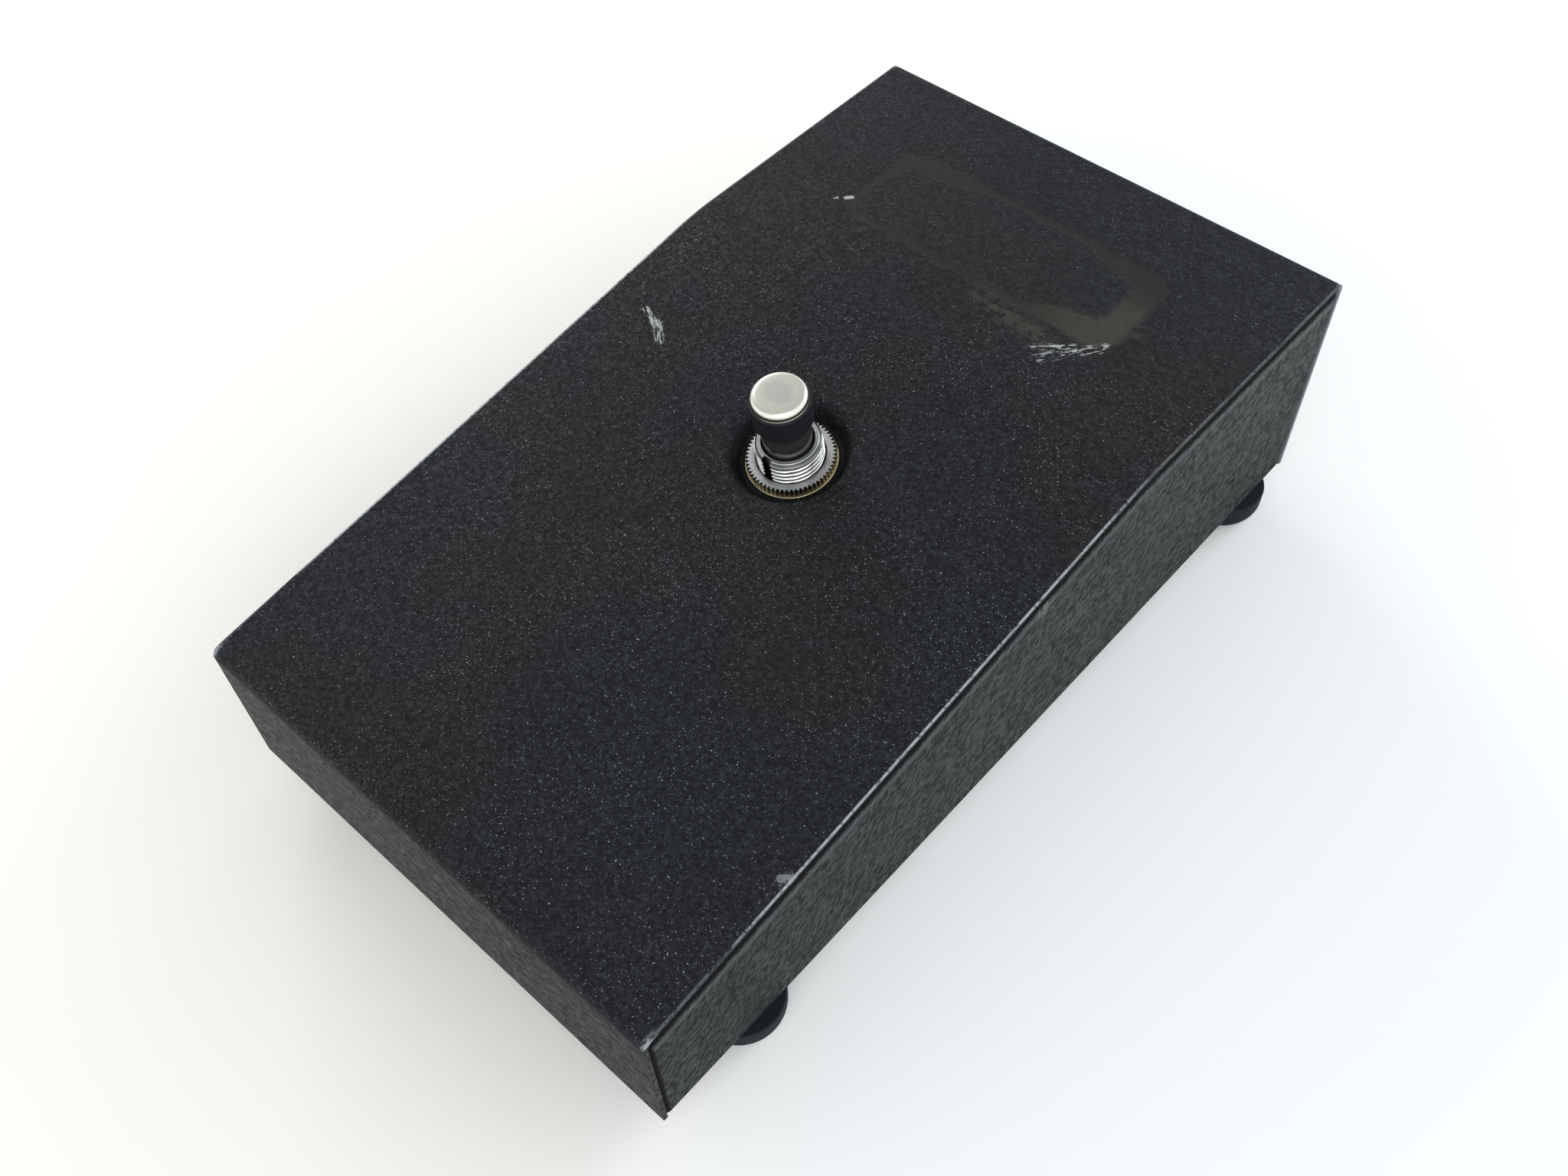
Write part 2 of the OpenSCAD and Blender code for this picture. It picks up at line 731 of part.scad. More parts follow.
knob_z = 1.8;
skirt_h = 3;
grip_taper = 1.3;
knob_nut_gap = 0.7;
knob_recess_r = pot_nut_af / sqrt(3) + knob_nut_gap;
knob_recess_h = bush_out + 2 * contact_gap - knob_z;
flutes = 18;
flute_r = 0.9;
set_screw_r = 1.5;
set_screw_z = 9;
knob_grip_r = knob_r - grip_taper;
pointer_w = 0.8;
pointer_d = 0.5;
pointer_end = 2;
set_screw_in = 1;
module volume_knob() {
  color("#1c1d20") in_body() on_rear(0) difference() {
    union() {
      translate([0, 0, knob_z]) cylinder(r = knob_r, h = skirt_h);
      translate([0, 0, knob_z + e]) linear_extrude(knob_out - knob_z - e) difference() {
        circle(knob_grip_r);
        for (k = [0:flutes - 1]) rotate(k * 360 / flutes) {
          translate([knob_grip_r + flute_r / 2, 0]) circle(flute_r);
        }
      }
    }
    translate([0, 0, knob_z - e]) cylinder(r = knob_recess_r, h = knob_recess_h + e);
    translate([0, 0, knob_z - e]) cylinder(r = shaft_r, h = shaft_top - knob_z + e);
    translate([0, 0, set_screw_z]) rotate([-90, 0, 0]) cylinder(r = set_screw_r, h = knob_r);
    translate([-pointer_w / 2, -knob_grip_r - e, knob_out - pointer_d]) {
      cube([pointer_w, knob_grip_r - pointer_end, pointer_d + e]);
    }
  }
}
module knob_set_screw() {
  color("dimgray") in_body() on_rear(0) translate([0, 0, set_screw_z]) rotate([-90, 0, 0]) {
    translate([0, 0, shaft_r + run_gap]) cylinder(r = set_screw_r, h = knob_grip_r - shaft_r - set_screw_in);
  }
}

// ---- Circuit board and battery ----
board_t = 1.6;
board_top = spacer_h + board_t;
spacer_r = 2.75;
board_screw_over = 0.5;
module at_board_holes() { for (p = board_holes) translate([p.x, p.y, 0]) children(); }
module circuit_board() {
  color("peru") in_body() difference() {
    translate([-board_w / 2, board_y - board_l / 2, spacer_h]) cube([board_w, board_l, board_t]);
    at_board_holes() cylinder(r = m25_r + hole_gap, h = board_top + e);
  }
}
module board_spacers() {
  color("white") in_body() at_board_holes() tube(spacer_r, m25_r + hole_gap, spacer_h);
}
module board_screws() {
  color("silver") in_body() at_board_holes() translate([0, 0, -plate_t]) {
    screw(m25_r, m25_head_r, m25_head_h, plate_t + board_top + m25_nut_t + board_screw_over);
  }
}
module board_nuts() {
  color("silver") in_body() at_board_holes() translate([0, 0, board_top]) {
    hex_nut(m25_nut_af, m25_r + run_gap, m25_nut_t);
  }
}

lead_r = 0.3;
part_up = 1.6;
resistor_l = 6.2;
resistor_r = 1.1;
resistor_span = 10;
resistor_columns = [-12, 0];
resistor_rows = [-9, -5, -1, 3];
module resistor() {
  translate([0, 0, part_up]) rotate([0, 90, 0]) {
    cylinder(r = resistor_r, h = resistor_l, center = true);
    cylinder(r = lead_r, h = resistor_span, center = true);
  }
  for (x = [-1, 1]) translate([x * (resistor_span / 2 - lead_r), 0, 0]) {
    cylinder(r = lead_r, h = part_up);
  }
}
module resistors() {
  color("tan") in_body() for (x = resistor_columns, y = resistor_rows) {
    translate([x, board_y + y, board_top]) resistor();
  }
}
can_places = [[9, -9], [9, -1], [16.5, -9]];
can_cap_r = 3.1;
can_cap_h = 10;
module capacitors() {
  color("royalblue") in_body() for (p = can_places) translate([p.x, board_y + p.y, board_top]) {
    cylinder(r = can_cap_r, h = can_cap_h);
  }
}
transistor_places = [[9, 7], [17, 7]];
transistor_r = 2.4;
transistor_h = 4.5;
transistor_up = 3;
transistor_pitch = 1.3;
module transistors() {
  color("gray") in_body() for (p = transistor_places) translate([p.x, board_y + p.y, board_top]) {
    translate([0, 0, transistor_up]) cylinder(r = transistor_r, h = transistor_h);
    for (k = [-1:1]) translate([k * transistor_pitch, 0, 0]) cylinder(r = lead_r, h = transistor_up + e);
  }
}

battery_body = [46.4, 26.5, 17.5];
clip_t = 0.8;
clip_w = 20;
clip_up = 14;
terminal_h = 2.6;
terminal_y = 6.35;
terminal_radii = [2.9, 3.8];
battery_x1 = 21.4;
snap_size = [5, 24, 12];
snap_on = 1.8;
snap_x = battery_x1 + terminal_h - snap_on;
module at_terminals() {
  for (k = [0, 1]) {
    translate([battery_x1, battery_y + (2 * k - 1) * terminal_y, clip_t + battery_body.z / 2]) {
      rotate([0, 90, 0]) children(k);
    }
  }
}
module battery() {
  color("dimgray") in_body() {
    translate([battery_x1 - battery_body.x, battery_y - battery_body.y / 2, clip_t]) cube(battery_body);
  }
}
module battery_terminals() {
  color("silver") in_body() at_terminals() {
    cylinder(r = terminal_radii[0], h = terminal_h);
    cylinder(r = terminal_radii[1], h = terminal_h);
  }
}
module battery_snap() {
  color("#202224") in_body() difference() {
    translate([snap_x, battery_y - snap_size.y / 2, clip_t + (battery_body.z - snap_size.z) / 2]) {
      cube(snap_size);
    }
    at_terminals() {
      cylinder(r = terminal_radii[0] + contact_gap, h = terminal_h);
      cylinder(r = terminal_radii[1] + contact_gap, h = terminal_h);
    }
  }
}
module battery_clip() {
  color("silver") in_body() translate([-clip_w / 2, battery_y - battery_body.y / 2 - clip_t, 0]) {
    cube([clip_w, battery_body.y + 2 * clip_t, clip_t]);
    cube([clip_w, clip_t, clip_up]);
    translate([0, battery_body.y + clip_t, 0]) cube([clip_w, clip_t, clip_up]);
  }
}

// ---- Hookup wires ----
// Each runs from one solder point to another, through points chosen by hand
wire_r = 0.65;
wire_sides = 6;
wire_steps = 3;
function on_curve(a, b, c, d, t) =
  0.5 * (2 * b + (c - a) * t + (2 * a - 5 * b + 4 * c - d) * t * t + (3 * b - a - 3 * c + d) * t * t * t);
function smooth(p) = let (n = len(p) - 1) concat([
  for (k = [0:n - 1], m = [0:wire_steps - 1])
    on_curve(p[max(k - 1, 0)], p[k], p[k + 1], p[min(k + 2, n)], m / wire_steps)
], [p[n]]);

// Each route leaves and meets its solder points square to their faces
leads = [0, 1.5, 3];
lug_mid_z = base_top_z - base_t - lug_out / 2;
function lug_lead(side, row) = [
  for (out = leads)
    let (x = side * (lug_x + lug_t / 2 + out), y = lug_rows[row])
    [x, switch_y + y * cos(slope) - lug_mid_z * sin(slope),
      front_h + switch_y * tan(slope) + y * sin(slope) + lug_mid_z * cos(slope)]
];
function tail_lead(side) = [
  for (out = leads)
    [side * (jack_x + leaf_w / 2 + out), body_l + tail_z - tail_l / 2, rear_row_h - leaf_y + leaf_t / 2]
];
function pot_lead(x) = [
  for (out = leads) [x, body_l + pot_lug_z - out, rear_row_h - wafer_tab_y - pot_lug_l / 2]
];
function board_lead(x, y) = [for (out = leads) [x, board_y + y, board_top + out]];
function snap_lead(y) = [
  for (out = leads) [snap_x + snap_size.x + out, battery_y + y, clip_t + battery_body.z / 2]
];
module wire(from, through, to) {
  sweep(smooth(concat(from, through, backwards(to))), wire_r, wire_sides);
}

side_lane = 37;
module jack_wire(side) {
  wire(tail_lead(side), [
    [side * (side_lane + 1), body_l - 20, 15],
    [side * side_lane, body_l - 34, 12],
    [side * side_lane, body_l - 50, 14],
    [side * (side_lane - 8), switch_y + 20, 19],
    [side * 18, switch_y + 13, 21]
  ], lug_lead(side, 2));
}
module board_wire() {
  wire(lug_lead(1, 1), [
    [12, switch_y - 9, 15],
    [9, switch_y - 25, 12],
    [5, board_y + 24, 13],
    [4, board_y + 18, 13]
  ], board_lead(3, 14));
}
module level_wire() {
  wire(lug_lead(-1, 1), [
    [-20, switch_y + 6, 18],
    [-29, switch_y + 18, 13],
    [-31, battery_y, 10],
    [-28, battery_y + 20, 6],
    [-14, body_l - 24, 4],
    [-3, body_l - 15, 4]
  ], pot_lead(0));
}
module ground_wire() {
  wire(pot_lead(-pot_lug_pitch), [
    [-12, body_l - 18, 8],
    [-30, battery_y + 22, 10],
    [-34, battery_y, 6],
    [-34, switch_y, 4],
    [-32, board_y + 26, 6],
    [-24, board_y + 18, 14],
    [-21, board_y + 8, 13]
  ], board_lead(-21, 2));
}
module battery_wire(y, lane, land_x, back) {
  wire(snap_lead(y), [
    [lane - 1, battery_y + y - 6, 5],
    [lane, battery_y + y - 14, 3],
    [lane, switch_y - 5, 3],
    [lane - 1, board_y + 30 + back, 4],
    [lane - 6, board_y + 23 + back, 12],
    [land_x + 3, board_y + 19 + back, 14]
  ], board_lead(land_x, 14));
}
module hookup_wires() {
  color("firebrick") in_body() {
    jack_wire(1);
    jack_wire(-1);
    board_wire();
    level_wire();
    ground_wire();
    battery_wire(4, 35, 16.5, 0);
    battery_wire(-4, 31, 10.5, 3);
  }
}

cover_shell();
side_panel_left();
side_panel_right();
base_plate();
base_screws();
foot_front_left();
foot_front_right();
foot_rear_left();
foot_rear_right();
foot_screws();
foot_washers();
foot_nuts();
switch_bushing();
switch_ring_nut();
switch_washer();
switch_back_nut();
switch_case();
switch_base();
switch_lugs();
switch_spring();
contact_rotor();
plunger_stem();
plunger_sleeve();
plunger_cap();
input_bushing();
input_frame();
input_insulator();
input_tip_spring();
input_nut();
input_washer();
output_bushing();
output_frame();
output_insulator();
output_tip_spring();
output_nut();
output_washer();
pot_bushing();
pot_case();
pot_washer();
pot_nut();
pot_wafer();
pot_lugs();
pot_shaft();
pot_wiper();
volume_knob();
knob_set_screw();
circuit_board();
board_spacers();
board_screws();
board_nuts();
resistors();
capacitors();
transistors();
battery();
battery_terminals();
battery_snap();
battery_clip();
hookup_wires();
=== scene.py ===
import json
import math

import bmesh
import bpy
from mathutils import Matrix, Vector

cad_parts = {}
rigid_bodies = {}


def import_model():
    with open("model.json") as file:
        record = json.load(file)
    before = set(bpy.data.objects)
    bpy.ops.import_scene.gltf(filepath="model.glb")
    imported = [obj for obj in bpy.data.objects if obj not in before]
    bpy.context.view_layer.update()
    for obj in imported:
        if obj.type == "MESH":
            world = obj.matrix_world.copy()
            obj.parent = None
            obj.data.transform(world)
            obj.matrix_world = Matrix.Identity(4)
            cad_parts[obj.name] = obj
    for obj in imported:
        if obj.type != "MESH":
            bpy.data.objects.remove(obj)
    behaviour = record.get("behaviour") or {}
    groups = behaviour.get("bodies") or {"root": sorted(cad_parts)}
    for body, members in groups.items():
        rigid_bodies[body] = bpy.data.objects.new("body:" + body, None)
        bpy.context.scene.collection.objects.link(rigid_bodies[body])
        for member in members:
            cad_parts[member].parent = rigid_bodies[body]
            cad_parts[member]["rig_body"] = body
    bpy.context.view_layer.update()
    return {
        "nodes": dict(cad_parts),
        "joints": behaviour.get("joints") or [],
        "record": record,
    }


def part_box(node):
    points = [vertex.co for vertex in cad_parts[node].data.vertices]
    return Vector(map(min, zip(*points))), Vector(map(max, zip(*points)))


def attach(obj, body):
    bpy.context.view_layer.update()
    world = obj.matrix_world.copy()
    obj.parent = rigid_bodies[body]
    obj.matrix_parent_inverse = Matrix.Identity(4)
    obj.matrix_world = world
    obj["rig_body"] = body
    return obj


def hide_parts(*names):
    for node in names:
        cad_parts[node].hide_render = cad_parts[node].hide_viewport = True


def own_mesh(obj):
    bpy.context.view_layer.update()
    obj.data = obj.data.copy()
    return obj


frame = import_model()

NODES = frame["nodes"]
MM = 0.001

# ---- Places: the row frame, and frames on the object, all in millimetres ----
SLOT_OF = {s["node"]: s["material_slot"] for s in frame["record"]["subparts"]}
JOINTS = {j["name"]: j for j in frame["joints"]}
low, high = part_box("cover_shell")
BODY_W = (high.x - low.x) / MM
BODY_L = (high.y - low.y) / MM
FRONT_Y = low.y / MM
BODY_Z = low.z / MM
TOP_Z = high.z / MM


def place(origin, up, across):
    """A matrix in millimetres at origin (metres), with Z along up and X near across."""
    z = Vector(up).normalized()
    y = z.cross(Vector(across)).normalized()
    x = y.cross(z)
    m = Matrix((x, y, z)).transposed().to_4x4()
    m.translation = Vector(origin) / MM
    return m


ROTOR = JOINTS["rotor_turn"]
SWITCH = place(ROTOR["pos_m"], ROTOR["axis"], (1, 0, 0))
KNOB = place(JOINTS["knob_turn"]["pos_m"], (0, 1, 0), (1, 0, 0))
KNOB_FACE = KNOB.copy()
KNOB_FACE.translation.y = high.y / MM
JACK_TURN = math.radians(12)


# ---- Mesh helpers ----
def finish_mesh(name, bm, material, body, angle=35, nodes=(), slot=None):
    """Makes the piece, smooths it up to the angle and puts it on its body."""
    bmesh.ops.remove_doubles(bm, verts=bm.verts, dist=1e-7)
    bmesh.ops.recalc_face_normals(bm, faces=bm.faces)
    mesh = bpy.data.meshes.new(name)
    bm.to_mesh(mesh)
    bm.free()
    for p in mesh.polygons:
        p.use_smooth = True
    mesh.set_sharp_from_angle(angle=math.radians(angle))
    mesh.materials.append(material)
    obj = bpy.data.objects.new(name, mesh)
    bpy.context.scene.collection.objects.link(obj)
    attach(obj, body)
    if nodes:
        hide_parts(*nodes)
        slot = slot or SLOT_OF[nodes[0]]
    return obj


def turned(bm, at, profile, angles, shape=None):
    """Adds a closed profile of (radius, height) turned round the place's Z axis."""
    rings = []
    for a in angles:
        ring = []
        for r, z in profile:
            r2, z2 = shape(a, r, z) if shape else (r, z)
            ring.append(bm.verts.new(at @ Vector((r2 * math.cos(a), r2 * math.sin(a), z2)) * MM))
        rings.append(ring)
    n, m = len(rings), len(profile)
    for i in range(n):
        one, two = rings[i], rings[(i + 1) % n]
        for j in range(m):
            k = (j + 1) % m
            corners = [one[j], two[j], two[k], one[k]]
            if profile[j][0] < 1e-6 and profile[k][0] < 1e-6:
                continue
            bm.faces.new(corners)


def even(steps):
    return [2 * math.pi * k / steps for k in range(steps)]


def rounded(points, radii, steps=5):
    """The closed outline of (radius, height) points with its corners rounded by the radii."""
    out = []
    n = len(points)
    for i, q in enumerate(points):
        p, s, r = Vector(points[i - 1]), Vector(points[(i + 1) % n]), radii[i]
        q = Vector(q)
        if not r:
            out.append(tuple(q))
            continue
        u, v = (p - q).normalized(), (s - q).normalized()
        half = math.acos(max(-1, min(1, u.dot(v)))) / 2
        reach = r / math.tan(half)
        centre = q + (u + v).normalized() * r / math.sin(half)
        a, b = q + u * reach - centre, q + v * reach - centre
        a0 = math.atan2(a.y, a.x)
        turn = (math.atan2(b.y, b.x) - a0 + 3 * math.pi) % (2 * math.pi) - math.pi
        for k in range(steps + 1):
            t = a0 + turn * k / steps
            out.append((centre.x + r * math.cos(t), centre.y + r * math.sin(t)))
    return out


def softened(node, width, material, angle=30, steps=2):
    """A piece made from the CAD node's own shape, with its sharp edges broken."""
    bm = bmesh.new()
    bm.from_mesh(NODES[node].data)
    bmesh.ops.remove_doubles(bm, verts=bm.verts, dist=2e-6)
    bmesh.ops.dissolve_limit(
        bm, angle_limit=math.radians(0.6), verts=bm.verts, edges=bm.edges)
    sharp = [e for e in bm.edges
             if e.is_manifold and e.calc_face_angle(0) > math.radians(angle)]
    bmesh.ops.bevel(
        bm, geom=sharp, offset=width * MM, offset_type="OFFSET", segments=steps,
        profile=0.5, affect="EDGES", clamp_overlap=True)
    body = NODES[node]["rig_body"]
    return finish_mesh(node + "_soft", bm, material, body, angle=40, nodes=[node])


# ---- Material helpers ----
class Graph:
    """A node material. Positions are the row frame's, in millimetres."""

    def __init__(self, name):
        self.mat = bpy.data.materials.new(name)
        self.mat.use_nodes = True
        self.tree = self.mat.node_tree
        self.bsdf = self.tree.nodes["Principled BSDF"]
        where = self.tree.nodes.new("ShaderNodeTexCoord").outputs["Object"]
        self.pos = self.vec("SCALE", where, scale=1000.0)

    def put(self, kind, **settings):
        node = self.tree.nodes.new(kind)
        for k, v in settings.items():
            setattr(node, k, v)
        return node

    def feed(self, socket, value):
        if isinstance(value, bpy.types.NodeSocket):
            self.tree.links.new(value, socket)
        elif hasattr(value, "__len__") and socket.type == "RGBA" and len(value) == 3:
            socket.default_value = (*value, 1.0)
        else:
            socket.default_value = value

    def set(self, **inputs):
        for name, value in inputs.items():
            self.feed(self.bsdf.inputs[name.replace("_", " ")], value)
        return self

    def vec(self, operation, a, b=None, scale=None):
        node = self.put("ShaderNodeVectorMath", operation=operation)
        self.feed(node.inputs[0], a)
        if b is not None:
            self.feed(node.inputs[1], b)
        if scale is not None:
            self.feed(node.inputs["Scale"], scale)
        one = operation in ("DOT_PRODUCT", "LENGTH", "DISTANCE")
        return node.outputs["Value" if one else "Vector"]

    def math(self, operation, a, b=0.0, c=0.0, clamp=False):
        node = self.put("ShaderNodeMath", operation=operation, use_clamp=clamp)
        for socket, value in zip(node.inputs, (a, b, c)):
            self.feed(socket, value)
        return node.outputs[0]

    def add(self, a, b):
        return self.math("ADD", a, b)

    def mul(self, a, b):
        return self.math("MULTIPLY", a, b)

    def step(self, value, start, end):
        """0 before start and 1 after end, smoothly."""
        node = self.put("ShaderNodeMapRange", interpolation_type="SMOOTHSTEP")
        self.feed(node.inputs["Value"], value)
        low, high, flip = (start, end, False) if start < end else (end, start, True)
        node.inputs["From Min"].default_value = low
        node.inputs["From Max"].default_value = high
        node.inputs["To Min"].default_value = 1.0 if flip else 0.0
        node.inputs["To Max"].default_value = 0.0 if flip else 1.0
        return node.outputs["Result"]

    def range(self, value, low, high):
        node = self.put("ShaderNodeMapRange")
        self.feed(node.inputs["Value"], value)
        self.feed(node.inputs["To Min"], low)
        self.feed(node.inputs["To Max"], high)
        return node.outputs["Result"]

    def mix(self, share, a, b):
        node = self.put("ShaderNodeMix", data_type="RGBA")
        self.feed(node.inputs["Factor"], share)
        self.feed(node.inputs[6], a)
        self.feed(node.inputs[7], b)
        return node.outputs[2]

    def blend(self, share, a, b):
        """a where share is 0 and b where it is 1, for plain numbers."""
        node = self.put("ShaderNodeMix", data_type="FLOAT")
        self.feed(node.inputs[0], share)
        self.feed(node.inputs[2], a)
        self.feed(node.inputs[3], b)
        return node.outputs[0]

    def noise(self, per_mm, detail=2.0, rough=0.5, at=None, stretch=None, warp=0.0):
        where = at or self.pos
        if stretch:
            where = self.vec("MULTIPLY", where, stretch)
        node = self.put("ShaderNodeTexNoise")
        self.feed(node.inputs["Vector"], where)
        node.inputs["Scale"].default_value = per_mm
        node.inputs["Detail"].default_value = detail
        node.inputs["Roughness"].default_value = rough
        node.inputs["Distortion"].default_value = warp
        return node.outputs["Fac"]

    def split(self, value=None):
        node = self.put("ShaderNodeSeparateXYZ")
        self.feed(node.inputs[0], value or self.pos)
        return node.outputs[0], node.outputs[1], node.outputs[2]

    def join(self, x, y, z):
        node = self.put("ShaderNodeCombineXYZ")
        for socket, value in zip(node.inputs, (x, y, z)):
            self.feed(socket, value)
        return node.outputs[0]

    def bump(self, height, mm):
        node = self.put("ShaderNodeBump")
        node.inputs["Distance"].default_value = mm * MM
        self.feed(node.inputs["Height"], height)
        return node.outputs["Normal"]


SWITCH_UP = tuple(SWITCH.to_3x3() @ Vector((0, 0, 1)))
SWITCH_AT = tuple(SWITCH.translation)


# ---- Materials ----
def rounded_box(g, at, centre, half, radius):
    """Distance in mm from the outline of a rounded rectangle, below 0 inside it."""
    off = g.vec("ABSOLUTE", g.vec("SUBTRACT", at, (*centre, 0)))
    off = g.vec("SUBTRACT", off, (half[0] - radius, half[1] - radius, 0))
    outside = g.vec("LENGTH", g.vec("MAXIMUM", off, (0, 0, 0)))
    x, y, _ = g.split(off)
    inside = g.math("MINIMUM", g.math("MAXIMUM", x, y), 0.0)
    return g.math("SUBTRACT", g.add(outside, inside), radius)


def streak(g, at, start, end):
    """Distance in mm from a line on the top, seen from above."""
    run = Vector(end) - Vector(start)
    from_start = g.vec("SUBTRACT", at, (*start, 0))
    share = g.vec("DOT_PRODUCT", from_start, (run.x, run.y, 0))
    share = g.math("DIVIDE", share, run.length_squared, clamp=True)
    foot = g.vec("SCALE", (run.x, run.y, 0), scale=share)
    return g.vec("LENGTH", g.vec("SUBTRACT", from_start, foot))


def off_axis(g):
    """Distance in mm from the footswitch's axis."""
    return g.vec("LENGTH", g.vec("CROSS_PRODUCT", g.vec("SUBTRACT", g.pos, SWITCH_AT), SWITCH_UP))


def up_axis(g):
    """Height in mm along the footswitch's axis, from the top's surface."""
    return g.vec("DOT_PRODUCT", g.vec("SUBTRACT", g.pos, SWITCH_AT), SWITCH_UP)


def below_top(g):
    """Depth in mm below the cover's outer surface, on the slope or the flat."""
    slope = g.mul(up_axis(g), -1.0)
    _, _, z = g.split()
    return g.math("MINIMUM", slope, g.math("SUBTRACT", TOP_Z, z))


def broken_line(g, flat, start, end, reach, cut):
    """A scratch from start to end on the top, broken into slanting strokes."""
    run = (Vector(end) - Vector(start)).normalized()
    along = g.vec("DOT_PRODUCT", flat, (run.x, run.y, 0))
    across = g.vec("DOT_PRODUCT", flat, (-run.y, run.x, 0))
    bits = g.noise(1.0, 3, 0.7, at=g.join(g.mul(along, 0.42), g.mul(across, 1.9), 0.0), warp=0.4)
    close = g.step(streak(g, flat, start, end), reach, reach * 0.3)
    return g.mul(close, g.step(bits, cut, cut + 0.05))


# From, to, reach and cut of each scratch, on the top seen from above, from the front edge
SCRATCHES = [
    ((-42.9, 97.4), (-37.4, 95.2), 0.9, 0.47),
    ((-38.8, 96.2), (-35.6, 93.6), 1.3, 0.50),
    ((19.4, 132.6), (24.6, 137.2), 1.0, 0.50),
    ((21.6, 131.0), (29.4, 140.8), 1.6, 0.53),
    ((-32.3, 142.0), (-31.6, 142.8), 0.7, 0.40),
    ((-34.0, 140.6), (-33.7, 141.0), 0.45, 0.40),
]


